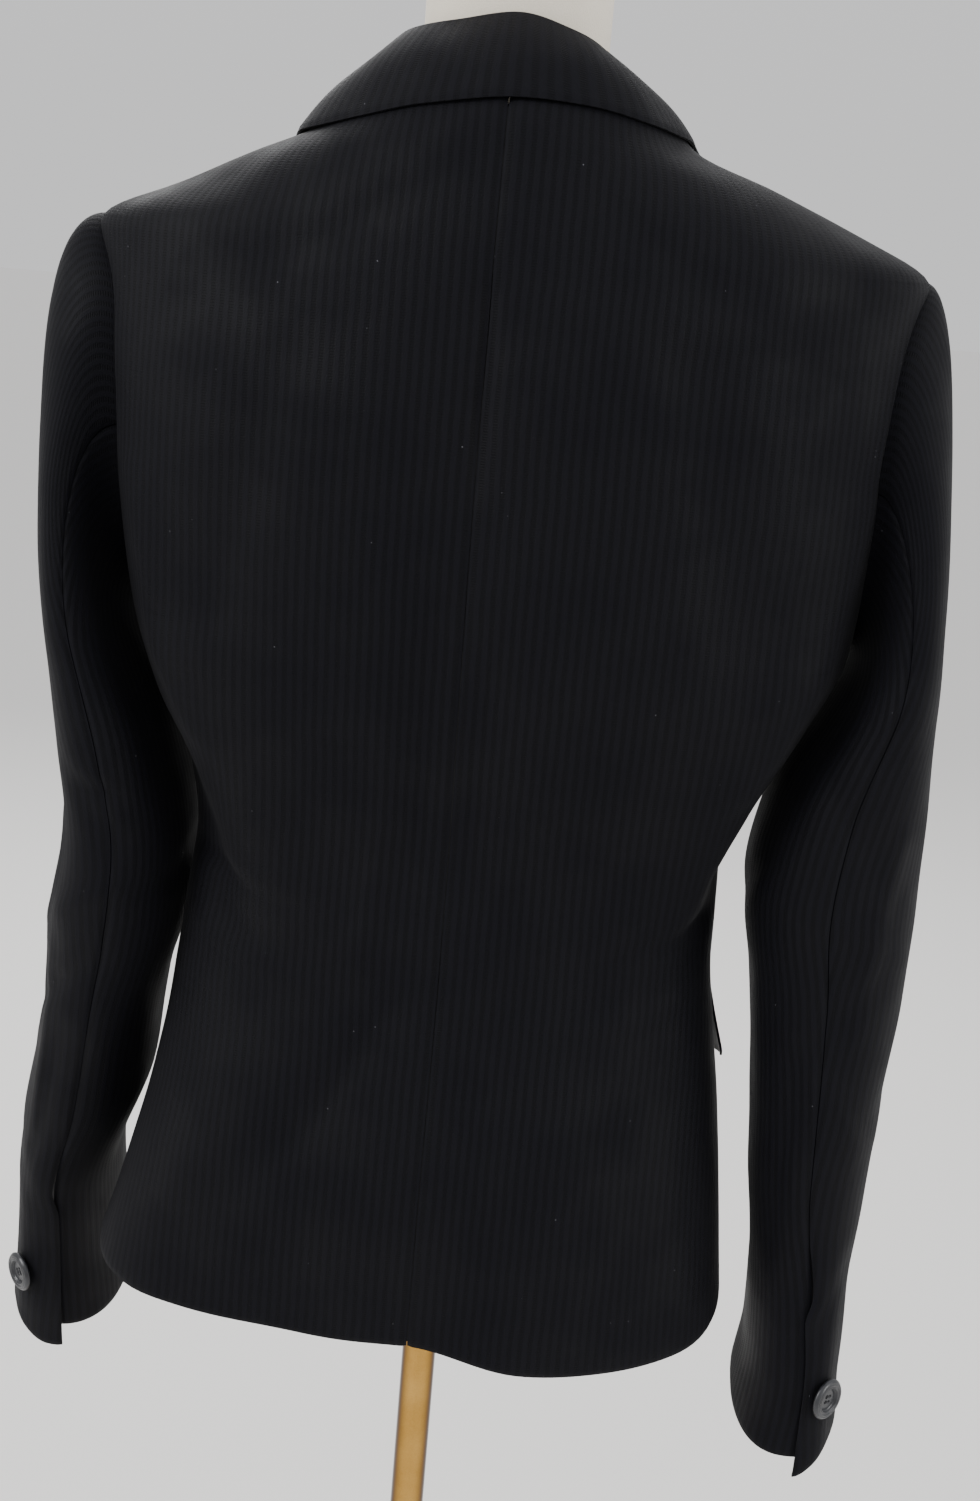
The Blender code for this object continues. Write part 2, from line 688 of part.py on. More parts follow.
def surface_normal(point, u, v, step_u, step_v, away):
    """The normal of a surface function at (u, v), turned away from a point."""
    across = point(u + step_u, v) - point(u - step_u, v)
    along = point(u, v + step_v) - point(u, v - step_v)
    normal = across.cross(along).normalized()
    return normal if normal.dot(point(u, v) - away) > 0 else -normal


def make_buttons(collection):
    """Two buttons on the overlapping front and one on each cuff beside its vent."""

    def front(angle, height):
        return on_body(-angle, height, overlap_rise("right", angle, height) + FRONT_BUTTON_LIFT)

    wide = degrees_of(BUTTON_RADIUS, 180, FRONT_BUTTON_HEIGHTS[0])
    for k, height in enumerate(FRONT_BUTTON_HEIGHTS):
        place = (180, height, wide, BUTTON_RADIUS)
        make_button(f"front_button_{k + 1}", front, *place, Vector((0, 0, height)), collection)
    for side, sign in SIDES.items():
        share = share_above_cuff(side, CUFF_BUTTON_UP)
        step = share - share_above_cuff(side, CUFF_BUTTON_UP + BUTTON_RADIUS)

        def cuff(turn, at, side=side):
            return top_sleeve_point(side, turn, at, out=CUFF_BUTTON_LIFT)

        wide = turn_of(BUTTON_RADIUS, side, CUFF_BUTTON_ANGLE, share)
        place = (CUFF_BUTTON_ANGLE, share, wide, step)
        cuff_row = SLEEVES[side][-1]
        away = Vector((sign * cuff_row.out, cuff_row.back, cuff_row.height))
        make_button(f"cuff_button_{side}", cuff, *place, away, collection)


def make_form(collection):
    """The dress form that fills the body of the garment, with its neck and a plain cap."""
    steps, below, above = 32, 16, 7
    top = NAPE - 0.012

    def ring(height):
        points = []
        for k in range(steps):
            angle = 360 * k / steps
            side = blend(0.86, 0.97, abs(math.sin(math.radians(angle))))
            ease = FORM_EASE + (FORM_SEAT - FORM_EASE) * side * blend(1.372, 1.385, height)
            place = body_point(angle, height, folded=False) - body_normal(angle, height) * ease
            points.append(Vector((place.x, place.y, max(place.z, FORM_FOOT))))
        return points

    heights = [FORM_FOOT + (SHOULDER - FORM_FOOT) * k / below for k in range(below)]
    heights += [SHOULDER + (top - SHOULDER) * k / above for k in range(above + 1)]
    rings = [ring(height) for height in heights]
    rings.append(circle(NECK_RADIUS + 0.006, NAPE - 0.003, steps))
    for height in (NAPE + 0.005, NAPE + 0.030, NECK_TOP - 0.006):
        rings.append(circle(NECK_RADIUS, height, steps))
    rings.append(circle(NECK_RADIUS - 0.006, NECK_TOP, steps))
    return loft("form_body", rings, "form", collection)


def circle(radius, height, steps):
    """A level ring of points round the neck's axis, in the order of the body's angles."""
    turns = [2 * math.pi * k / steps for k in range(steps)]
    return [Vector((NECK_X + radius * math.sin(turn), radius * math.cos(turn), height)) for turn in turns]


def make_stand(collection):
    """The pole under the form and its round, slightly domed foot, flat on the floor."""
    foot_top = FOOT_THICK + FOOT_DOME
    foot = (
        (0, foot_top),
        (SOCKET_RADIUS, foot_top),
        (SOCKET_RADIUS, foot_top - SOCKET_HEIGHT),
        (0.45 * FOOT_RADIUS, FOOT_THICK + 0.007),
        (0.85 * FOOT_RADIUS, FOOT_THICK + 0.001),
        (FOOT_RADIUS - 0.003, FOOT_THICK - 0.002),
        (FOOT_RADIUS, FOOT_THICK - 0.006),
        (FOOT_RADIUS, 0),
        (0, 0),
    )
    turned("form_base", foot, 48, "gold", collection)
    pole_top = FORM_FOOT - CLEAR
    pole = ((0, pole_top), (POLE_RADIUS, pole_top), (POLE_RADIUS, foot_top + CLEAR), (0, foot_top + CLEAR))
    turned("form_pole", pole, 24, "gold", collection)


def main():
    """Build every piece in a collection named for the object."""
    clear_scene()
    collection = make_collection("blazer_on_dress_form")
    for side in SIDES:
        make_back(side, collection)
        make_front(side, collection)
        make_lapel(side, collection)
        make_sleeve_top(side, collection)
        make_sleeve_under(side, collection)
        make_flap(side, collection)
    make_collar(collection)
    make_buttons(collection)
    make_form(collection)
    make_stand(collection)


main()
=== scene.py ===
"""Dresses a buttoned blazer and the limbless dress form that it hangs on.

Every cloth piece is a thin shell on the form of its solid, with creases placed one by one. A place on
the trunk is an angle in degrees (0 centre back, 90 the wearer's left side, 180 centre front) and a
height in metres. A place on a sleeve is a turn round it and a share of the way down it.
"""

import logging
import math
from collections.abc import Callable, Sequence
from dataclasses import dataclass, field
from enum import Enum
from typing import NamedTuple

import bmesh
import bpy
import numpy as np
from mathutils import Matrix, Vector, noise


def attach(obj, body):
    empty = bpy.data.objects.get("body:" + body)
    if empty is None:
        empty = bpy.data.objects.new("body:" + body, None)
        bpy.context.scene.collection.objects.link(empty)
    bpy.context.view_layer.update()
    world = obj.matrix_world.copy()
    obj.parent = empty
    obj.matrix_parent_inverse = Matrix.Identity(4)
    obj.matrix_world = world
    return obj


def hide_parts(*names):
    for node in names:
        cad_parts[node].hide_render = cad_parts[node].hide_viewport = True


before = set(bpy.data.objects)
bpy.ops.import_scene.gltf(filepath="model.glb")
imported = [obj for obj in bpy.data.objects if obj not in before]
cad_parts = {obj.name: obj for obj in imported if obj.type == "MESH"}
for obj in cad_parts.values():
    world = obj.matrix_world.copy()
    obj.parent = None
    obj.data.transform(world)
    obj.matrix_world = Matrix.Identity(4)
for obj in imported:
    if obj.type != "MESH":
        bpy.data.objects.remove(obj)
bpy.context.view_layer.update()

LOG = logging.getLogger("blazer")
ROOT = "root"

Array = np.ndarray
Outline = Sequence[tuple[float, float]]
FULL_TURN = 360.0
NORMAL_STEP = 0.003
CORE_HEIGHT = 1.1


class Side(Enum):
    """The wearer's side, with the sign of its X."""

    LEFT = 1
    RIGHT = -1

    @property
    def word(self) -> str:
        """The side's name in the pieces' names."""
        return self.name.lower()


class Slice(NamedTuple):
    """Half sizes of the trunk at a height; square is the slice's exponent."""

    height: float
    left: float
    right: float
    back: float
    front: float
    square: float


class Fold(NamedTuple):
    """A soft ridge, or a trough where height is under 0, between two places."""

    at: float
    top: float
    to: float
    bottom: float
    width: float
    height: float


def smooth_rows(rows: Sequence[Sequence[float]]) -> Callable[[Array], Array]:
    """Read a table smoothly, with no overshoot.

    Args:
        rows: Rows whose first column is the key, in either order.

    Returns:
        A function from an array of keys to an array of the other columns.
    """
    table = np.array(rows, float)
    if table[0, 0] > table[-1, 0]:
        table = table[::-1]
    keys, values = table[:, 0], table[:, 1:]
    slopes = np.diff(values, axis=0) / np.diff(keys)[:, None]
    product = slopes[1:] * slopes[:-1]
    total = np.where(product > 0, slopes[1:] + slopes[:-1], 1.0)
    inner = np.where(product > 0, 2 * product / total, 0.0)
    tangents = np.vstack([slopes[:1], inner, slopes[-1:]])

    def read(wanted: Array) -> Array:
        """The columns at the wanted keys."""
        wanted = np.asarray(wanted, float)
        k = np.clip(np.searchsorted(keys, wanted) - 1, 0, len(keys) - 2)
        step = (keys[k + 1] - keys[k])[..., None]
        t = np.clip((wanted - keys[k])[..., None] / step, 0, 1)
        start = (1 + 2 * t) * (1 - t) ** 2 * values[k] + t * (1 - t) ** 2 * step * tangents[k]
        end = t * t * (3 - 2 * t) * values[k + 1] + t * t * (t - 1) * step * tangents[k + 1]
        return start + end

    return read


def blend(low: float, high: float, t: Array) -> Array:
    """A smooth step from 0 at low to 1 at high."""
    t = np.clip((np.asarray(t, float) - low) / (high - low), 0, 1)
    return t * t * (3 - 2 * t)


def unit(vectors: Array) -> Array:
    """The vectors at length 1."""
    return vectors / np.maximum(np.linalg.norm(vectors, axis=-1, keepdims=True), 1e-12)


def sum_of_folds(folds: Sequence[Fold], at: Array, along: Array, scale: float, length: float) -> Array:
    """How far the folds push a surface out.

    Args:
        folds: The folds to add up.
        at: The places' angles or turns.
        along: The places' heights or shares.
        scale: Metres in one degree of at.
        length: Metres in one unit of along.

    Returns:
        The distance out at each place, in metres.
    """
    total = np.zeros(np.broadcast(at, along).shape)
    for fold in folds:
        run = np.array([(fold.to - fold.at) * scale, (fold.bottom - fold.top) * length])
        across = ((at - fold.at + FULL_TURN / 2) % FULL_TURN - FULL_TURN / 2) * scale
        down = (along - fold.top) * length
        share = np.clip((across * run[0] + down * run[1]) / max(run @ run, 1e-9), 0, 1)
        away = np.hypot(across - share * run[0], down - share * run[1])
        fade = 0.55 + 0.45 * np.sin(np.pi * share)
        strength = fade if abs(fold.height) < 0.0035 else 1.0
        total = total + fold.height * strength * np.exp(-((away / fold.width) ** 2))
    return total


def ripple(points: Array, size: float, seed: float) -> Array:
    """Slow unevenness of worn cloth, from -1 to 1.

    Args:
        points: Places in metres, in the last axis.
        size: The unevenness's size in metres.
        seed: Moves the pattern.

    Returns:
        A value for each place.
    """
    flat = points.reshape(-1, 3)
    offset = Vector((seed, 2.3 * seed, -seed))
    found = [noise.noise(Vector(point) / size + offset) for point in flat.tolist()]
    return np.array(found).reshape(points.shape[:-1])


def edged(count: int, width: float, fine: Sequence[float] = (0.0, 0.0006, 0.0013, 0.0022, 0.0034)) -> Array:
    """Shares from 0 to 1 with close ones at both ends, where a seam turns in.

    Args:
        count: Even steps between the ends.
        width: The piece's width in metres.
        fine: Distances from an edge, in metres.

    Returns:
        The shares in order.
    """
    near = np.array(fine) / width
    step = 0.006 / width
    middle = np.linspace(near[-1] + step / 2, 1 - near[-1] - step / 2, count)
    return np.concatenate([near, middle, 1 - near[::-1]])


@dataclass
class Trunk:
    """The blazer's trunk, as a stack of level slices with folds pushed out of them."""

    slices: tuple[Slice, ...] = (
        Slice(0.825, 0.180, 0.163, 0.110, 0.120, 2.9),
        Slice(0.880, 0.166, 0.157, 0.109, 0.120, 2.6),
        Slice(0.930, 0.155, 0.151, 0.103, 0.116, 2.4),
        Slice(0.975, 0.1475, 0.143, 0.094, 0.108, 2.4),
        Slice(1.020, 0.1425, 0.137, 0.087, 0.101, 2.4),
        Slice(1.065, 0.138, 0.137, 0.087, 0.101, 2.5),
        Slice(1.100, 0.145, 0.148, 0.092, 0.108, 2.6),
        Slice(1.140, 0.160, 0.168, 0.101, 0.118, 2.7),
        Slice(1.185, 0.173, 0.186, 0.109, 0.126, 2.8),
        Slice(1.235, 0.181, 0.191, 0.114, 0.127, 2.8),
        Slice(1.290, 0.188, 0.197, 0.115, 0.116, 2.6),
        Slice(1.335, 0.194, 0.202, 0.111, 0.098, 2.25),
        Slice(1.365, 0.199, 0.204, 0.1045, 0.083, 2.08),
        Slice(1.380, 0.165, 0.175, 0.101, 0.074, 2.08),
        Slice(1.400, 0.124, 0.126, 0.096, 0.060, 2.1),
        Slice(1.416, 0.088, 0.085, 0.093, 0.050, 2.2),
        Slice(1.428, 0.076, 0.074, 0.087, 0.042, 2.2),
        Slice(1.436, 0.069, 0.068, 0.064, 0.034, 2.2),
    )
    main_folds: tuple[Fold, ...] = (
        Fold(4, 1.33, 3, 1.10, 0.030, -0.0040),
        Fold(58, 1.16, 50, 1.06, 0.024, 0.0070),
        Fold(78, 1.11, 62, 1.03, 0.016, -0.0050),
        Fold(-60, 1.17, -66, 1.08, 0.024, 0.0060),
        Fold(-84, 1.08, -72, 1.03, 0.015, -0.0040),
        Fold(26, 0.98, 34, 0.82, 0.030, -0.0045),
        Fold(-28, 0.93, -32, 0.82, 0.032, 0.0040),
        Fold(62, 0.90, 66, 0.82, 0.026, 0.0040),
        Fold(146, 1.21, 146, 1.19, 0.055, 0.0120),
        Fold(-146, 1.21, -146, 1.19, 0.055, 0.0120),
    )
    creases: tuple[Fold, ...] = (
        Fold(1, 1.345, -1, 1.265, 0.0065, -0.0025),
        Fold(8, 1.20, 12, 1.07, 0.0110, -0.0031),
        Fold(-9, 1.19, -6, 1.06, 0.0120, -0.0028),
        Fold(16, 1.13, 26, 1.02, 0.0080, 0.0020),
        Fold(-22, 1.12, -14, 1.02, 0.0080, 0.0019),
        Fold(40, 1.31, 52, 1.19, 0.0120, -0.0034),
        Fold(-42, 1.32, -54, 1.18, 0.0130, -0.0037),
        Fold(66, 1.25, 60, 1.13, 0.0090, 0.0031),
        Fold(-70, 1.26, -64, 1.12, 0.0090, 0.0028),
        Fold(80, 1.06, 44, 1.045, 0.0060, -0.0025),
        Fold(-82, 1.045, -48, 1.030, 0.0060, -0.0023),
        Fold(70, 1.02, 36, 1.005, 0.0070, 0.0019),
        Fold(-66, 1.005, -34, 0.990, 0.0070, 0.0017),
        Fold(16, 1.00, 46, 0.89, 0.0120, -0.0034),
        Fold(54, 0.96, 58, 0.83, 0.0100, 0.0022),
        Fold(-12, 0.99, -20, 0.86, 0.0110, -0.0025),
        Fold(-50, 0.95, -56, 0.83, 0.0120, -0.0022),
        Fold(24, 1.385, 46, 1.355, 0.0090, -0.0022),
        Fold(-26, 1.385, -50, 1.352, 0.0090, -0.0023),
        Fold(160, 1.10, 140, 1.07, 0.0070, -0.0022),
        Fold(166, 1.06, 138, 1.045, 0.0070, 0.0019),
        Fold(-160, 1.095, -138, 1.070, 0.0070, -0.0022),
        Fold(-166, 1.055, -136, 1.035, 0.0070, 0.0017),
        Fold(118, 1.26, 130, 1.16, 0.0110, -0.0028),
        Fold(-116, 1.27, -128, 1.16, 0.0110, -0.0029),
        Fold(122, 0.95, 118, 0.83, 0.0110, -0.0020),
        Fold(-126, 0.94, -120, 0.83, 0.0110, 0.0020),
    )
    fold_radius: float = 0.130
    hem: float = 0.825
    hem_fade: float = 0.080
    armpit: float = 1.185
    shoulder: float = 1.365
    nape: float = 1.436
    neck_dip: float = 0.003
    hem_drops: tuple[tuple[float, float], ...] = (
        (-180, 0.0), (-94, 0.002), (-55, 0.007), (-28, 0.008), (0, -0.001),
        (28, 0.001), (55, -0.002), (94, -0.008), (180, 0.0),
    )
    armhole_spread: float = 18.0
    side_seam: float = 94.0
    shoulder_round: float = 0.006
    ripple_size: float = 0.045
    ripple_height: float = 0.0007

    def __post_init__(self) -> None:
        """Prepare the tables for reading."""
        self.slice_at = smooth_rows(self.slices)
        self.drop_at = smooth_rows(self.hem_drops)

    def rounded_slice(self, height: Array) -> Array:
        """The slices' sizes at the heights, rounded a little over the shoulders."""
        height = np.asarray(height, float)
        spread = self.shoulder_round * blend(1.335, 1.355, height) * (1 - blend(1.385, 1.405, height))
        middle = self.slice_at(height)
        return middle / 2 + (self.slice_at(height - spread) + self.slice_at(height + spread)) / 4

    def reach(self, angle: Array, height: Array) -> Array:
        """The bare slice's radius at each angle and height."""
        left, right, back, front, square = np.moveaxis(self.rounded_slice(height), -1, 0)
        sin, cos = np.sin(np.radians(angle)), np.cos(np.radians(angle))
        half = np.where(sin > 0, left, right)
        depth = np.where(cos > 0, back, front)
        return (np.abs(sin / half) ** square + np.abs(cos / depth) ** square) ** (-1 / square)

    def point(self, angle: Array, height: Array, out: Array = 0.0, folded: bool = True) -> Array:
        """Points of the trunk's surface.

        Args:
            angle: Angles in degrees.
            height: Heights in metres.
            out: Distance out along the radius.
            folded: Whether the folds are on it.

        Returns:
            The points, in the last axis.
        """
        angle, height = np.broadcast_arrays(np.asarray(angle, float), np.asarray(height, float))
        reach = self.reach(angle, height) + out
        if folded:
            scale = math.radians(1) * self.fold_radius
            folds = self.main_folds + self.creases
            reach = reach + sum_of_folds(folds, angle, height, scale, 1.0)
        turn = np.radians(angle)
        return np.stack([reach * np.sin(turn), reach * np.cos(turn), height], -1)

    def normal(self, angle: Array, height: Array, folded: bool = True) -> Array:
        """The outward directions of the surface, over a few millimetres."""
        ahead, behind = (self.point(angle + turn, height, folded=folded) for turn in (1, -1))
        steps = (NORMAL_STEP, -NORMAL_STEP)
        above, below = (self.point(angle, height + step, folded=folded) for step in steps)
        return unit(np.cross(above - below, ahead - behind))

    def lifted(self, angle: Array, height: Array, lift: Array) -> Array:
        """Points this far out from the surface, square to it."""
        return self.point(angle, height) + self.normal(angle, height) * np.asarray(lift)[..., None]

    def front_angle(self, x: Array, height: Array) -> Array:
        """The angle of the front surface's point that is x from the middle."""
        left, right, _, front, square = np.moveaxis(self.rounded_slice(height), -1, 0)
        share = np.minimum(np.abs(x) / np.where(np.asarray(x) > 0, left, right), 0.999)
        return np.degrees(np.arctan2(x, -front * (1 - share**square) ** (1 / square))) % 360

    def degrees_of(self, distance: Array, angle: Array, height: Array) -> Array:
        """The angle that a distance along a slice spans there."""
        return np.degrees(distance / self.reach(angle, height))

    def armhole(self, turn: Array, inset: float = 0.0) -> tuple[Array, Array]:
        """Angle and height of the armhole at a turn: 0 is its top, 90 its back, 180 its foot."""
        turn = np.radians(turn)
        middle = (self.shoulder + self.armpit) / 2
        rise = (self.shoulder - self.armpit) / 2 - inset
        lean = (self.side_seam - 90) / 2 * (1 - np.cos(turn))
        spread = self.armhole_spread - math.degrees(inset / 0.2)
        return 90 + lean - spread * np.sin(turn), middle + rise * np.cos(turn)

    def outer_angle(self, height: Array, back: bool) -> Array:
        """A panel's outer edge: side seam, armhole or shoulder seam."""
        middle = (self.shoulder + self.armpit) / 2
        rise = (self.shoulder - self.armpit) / 2
        turn = np.degrees(np.arccos(np.clip((height - middle) / rise, -1, 1)))
        hole = self.armhole(turn if back else 360 - turn)[0]
        return np.where(height <= self.armpit, self.side_seam, np.where(height >= self.shoulder, 90.0, hole))

    def panel_heights(self, below: int, along: int, above: int, top: float) -> Array:
        """Heights of a panel's rows: from the hem, by the armhole's turn, then to the neck."""
        near = self.hem + np.array([0.0, 0.0006, 0.0014, 0.0026])
        side = np.linspace(self.hem + 0.005, self.armpit, below, endpoint=False)
        hole = self.armhole(180 - 180 * np.arange(along + 1) / along)[1]
        rise = self.shoulder + (top - self.shoulder) * np.arange(1, above + 1) / above
        return np.concatenate([near, side, hole, rise])

    def hem_drop(self, angle: Array, height: Array) -> Array:
        """How far a row drops to follow the hem."""
        return self.drop_at(angle)[..., 0] * (1 - blend(self.hem, self.hem + self.hem_fade, height))


TRUNK = Trunk()


class Graph:
    """A node tree with short ways to add nodes to it."""

    def __init__(self, tree: bpy.types.NodeTree) -> None:
        """Keep the tree."""
        self.tree = tree

    def add(self, kind: str, inputs: dict | None = None, **settings: object) -> bpy.types.Node:
        """Add a node.

        Args:
            kind: The node's type.
            inputs: Values or sockets for its inputs, by name or index.
            **settings: Values of its properties.

        Returns:
            The node.
        """
        node = self.tree.nodes.new(kind)
        for name, value in settings.items():
            setattr(node, name, value)
        for key, value in (inputs or {}).items():
            self.put(value, node.inputs[key])
        return node

    def put(self, value: object, socket: bpy.types.NodeSocket) -> None:
        """Link a socket, or set the value."""
        if isinstance(value, bpy.types.NodeSocket):
            self.tree.links.new(value, socket)
        else:
            socket.default_value = value

    def math(self, operation: str, *values: object) -> bpy.types.NodeSocket:
        """The result of one arithmetic step."""
        node = self.add("ShaderNodeMath", dict(enumerate(values)), operation=operation)
        return node.outputs[0]

    def ramp(self, value: object, low: float, high: float) -> bpy.types.NodeSocket:
        """A smooth step of a value from 0 at low to 1 at high."""
        inputs = {"Value": value, "From Min": low, "From Max": high}
        node = self.add("ShaderNodeMapRange", inputs, interpolation_type="SMOOTHSTEP")
        return node.outputs["Result"]

    def mix(self, share: object, first: object, second: object) -> bpy.types.NodeSocket:
        """A colour between two."""
        node = self.add("ShaderNodeMix", {0: share}, data_type="RGBA")
        self.put(first, node.inputs[6])
        self.put(second, node.inputs[7])
        return node.outputs[2]

    def group(self, tree: bpy.types.NodeTree, inputs: dict) -> bpy.types.Node:
        """Add a shader group with these inputs."""
        return self.add("ShaderNodeGroup", inputs, node_tree=tree)

    def roughen(self, shader: bpy.types.Node, value: object, limits: tuple[float, float]) -> None:
        """Let a value from 0 to 1 move the roughness between its limits."""
        inputs = {"Value": value, "To Min": limits[0], "To Max": limits[1]}
        self.put(self.add("ShaderNodeMapRange", inputs).outputs["Result"], shader.inputs["Roughness"])

    def emboss(self, shader: bpy.types.Node, height: object, strength: float, distance: float) -> None:
        """Let a height tilt the shading."""
        inputs = {"Height": height, "Strength": strength, "Distance": distance}
        self.put(self.add("ShaderNodeBump", inputs).outputs["Normal"], shader.inputs["Normal"])


def shader_group(name: str, inputs: dict[str, str], outputs: Sequence[str]) -> tuple[Graph, object, object]:
    """Start a shader node group.

    Args:
        name: The group's name.
        inputs: Socket types by name.
        outputs: Names of its number outputs.

    Returns:
        Its graph, its input node and its output node.
    """
    tree = bpy.data.node_groups.new(name, "ShaderNodeTree")
    for label, kind in inputs.items():
        tree.interface.new_socket(label, in_out="INPUT", socket_type=f"NodeSocket{kind}")
    for label in outputs:
        tree.interface.new_socket(label, in_out="OUTPUT", socket_type="NodeSocketFloat")
    return Graph(tree), tree.nodes.new("NodeGroupInput"), tree.nodes.new("NodeGroupOutput")


def shadow_stripe() -> bpy.types.NodeTree:
    """The cloth's tonal stripe along the grain, with a tiny ladder of threads across it."""
    sockets = {"Grain": "Vector", "Pitch": "Float", "Ladder": "Float"}
    graph, given, result = shader_group("shadow_stripe", sockets, ("Stripe", "Height"))
    parts = graph.add("ShaderNodeSeparateXYZ", {0: given.outputs["Grain"]})
    warp = graph.add("ShaderNodeTexNoise", {"Vector": given.outputs["Grain"], "Scale": 60.0, "Detail": 2.0})
    drift = graph.math("MULTIPLY", graph.math("SUBTRACT", warp.outputs["Fac"], 0.5), 0.0012)
    across = graph.math("DIVIDE", graph.math("ADD", parts.outputs["X"], drift), given.outputs["Pitch"])
    fold = graph.math("ABSOLUTE", graph.math("SUBTRACT", graph.math("FRACT", across), 0.5))
    stripe = graph.ramp(fold, 0.14, 0.34)
    rungs = graph.math("FRACT", graph.math("DIVIDE", parts.outputs["Y"], given.outputs["Ladder"]))
    rung = graph.ramp(graph.math("ABSOLUTE", graph.math("SUBTRACT", rungs, 0.5)), 0.10, 0.40)
    ladder = graph.math("MULTIPLY", rung, graph.math("SUBTRACT", 1.0, stripe))
    graph.put(stripe, result.inputs["Stripe"])
    graph.put(graph.math("ADD", stripe, graph.math("MULTIPLY", ladder, 0.6)), result.inputs["Height"])
    return graph.tree


def mottle() -> bpy.types.NodeTree:
    """Slow variation over a surface."""
    sockets = {"Position": "Vector", "Scale": "Float", "Detail": "Float"}
    graph, given, result = shader_group("mottle", sockets, ("Value",))
    inputs = {name: given.outputs[name] for name in ("Scale", "Detail")}
    found = graph.add("ShaderNodeTexNoise", {"Vector": given.outputs["Position"], **inputs})
    graph.put(graph.ramp(found.outputs["Fac"], 0.30, 0.70), result.inputs["Value"])
    return graph.tree


def lint() -> bpy.types.NodeTree:
    """Sparse pale specks, each a fraction of a millimetre."""
    sockets = {"Position": "Vector", "Spacing": "Float", "Size": "Float"}
    graph, given, result = shader_group("lint", sockets, ("Mask",))
    scale = graph.math("DIVIDE", 1.0, given.outputs["Spacing"])
    cells = graph.add("ShaderNodeTexVoronoi", {"Vector": given.outputs["Position"], "Scale": scale})
    near = graph.math("LESS_THAN", cells.outputs["Distance"], given.outputs["Size"])
    chosen = graph.add("ShaderNodeSeparateXYZ", {0: cells.outputs["Color"]})
    few = graph.math("GREATER_THAN", chosen.outputs["X"], 0.55)
    graph.put(graph.math("MULTIPLY", near, few), result.inputs["Mask"])
    return graph.tree


class Groups:
    """The shader groups that the finishes share, each built once."""

    def __init__(self) -> None:
        """Build them."""
        self.stripe = shadow_stripe()
        self.mottle = mottle()
        self.lint = lint()


def start_material(name: str, metallic: float = 0.0) -> tuple[bpy.types.Material, Graph, bpy.types.Node]:
    """Start a material.

    Args:
        name: The material's name.
        metallic: Its metallic value.

    Returns:
        The material, its graph and its Principled BSDF.
    """
    material = bpy.data.materials.new(name)
    material.use_nodes = True
    shader = material.node_tree.nodes["Principled BSDF"]
    shader.inputs["Metallic"].default_value = metallic
    return material, Graph(material.node_tree), shader


@dataclass(frozen=True)
class ClothFinish:
    """Near-black suiting with a tonal stripe."""

    name: str = "striped_suiting"
    dark: tuple[float, ...] = (0.0008, 0.0008, 0.0017, 1)
    light: tuple[float, ...] = (0.0030, 0.0030, 0.0050, 1)
    speck: tuple[float, ...] = (0.075, 0.075, 0.085, 1)
    pitch: float = 0.0050
    ladder: float = 0.0012
    roughness: tuple[float, float] = (0.60, 0.78)
    sheen: float = 0.022
    bump: float = 0.00022
    slow_scale: float = 22.0
    fuzz_scale: float = 1400.0
    lint_spacing: float = 0.011
    lint_size: float = 0.030

    def material(self, groups: Groups) -> bpy.types.Material:
        """Build the material."""
        material, graph, shader = start_material(self.name)
        grain = graph.add("ShaderNodeUVMap", uv_map="grain").outputs["UV"]
        place = graph.add("ShaderNodeTexCoord").outputs["Object"]
        stripe = graph.group(groups.stripe, {"Grain": grain, "Pitch": self.pitch, "Ladder": self.ladder})
        slow = graph.group(groups.mottle, {"Position": place, "Scale": self.slow_scale, "Detail": 4.0})
        fuzz = graph.group(groups.mottle, {"Position": place, "Scale": self.fuzz_scale, "Detail": 2.0})
        spots = {"Position": place, "Spacing": self.lint_spacing, "Size": self.lint_size}
        speck = graph.group(groups.lint, spots)
        tone = graph.math("MULTIPLY", stripe.outputs["Stripe"], 0.75)
        tone = graph.math("ADD", tone, graph.math("MULTIPLY", fuzz.outputs["Value"], 0.25))
        colour = graph.mix(tone, self.dark, self.light)
        colour = graph.mix(graph.math("MULTIPLY", slow.outputs["Value"], 0.20), colour, self.light)
        colour = graph.mix(speck.outputs["Mask"], colour, self.speck)
        graph.put(colour, shader.inputs["Base Color"])
        graph.roughen(shader, slow.outputs["Value"], self.roughness)
        nap = graph.math("MULTIPLY", fuzz.outputs["Value"], 0.5)
        graph.emboss(shader, graph.math("ADD", stripe.outputs["Height"], nap), 0.6, self.bump)
        shader.inputs["Sheen Weight"].default_value = self.sheen
        shader.inputs["Sheen Roughness"].default_value = 0.45
        shader.inputs["Specular IOR Level"].default_value = 0.10
        return material


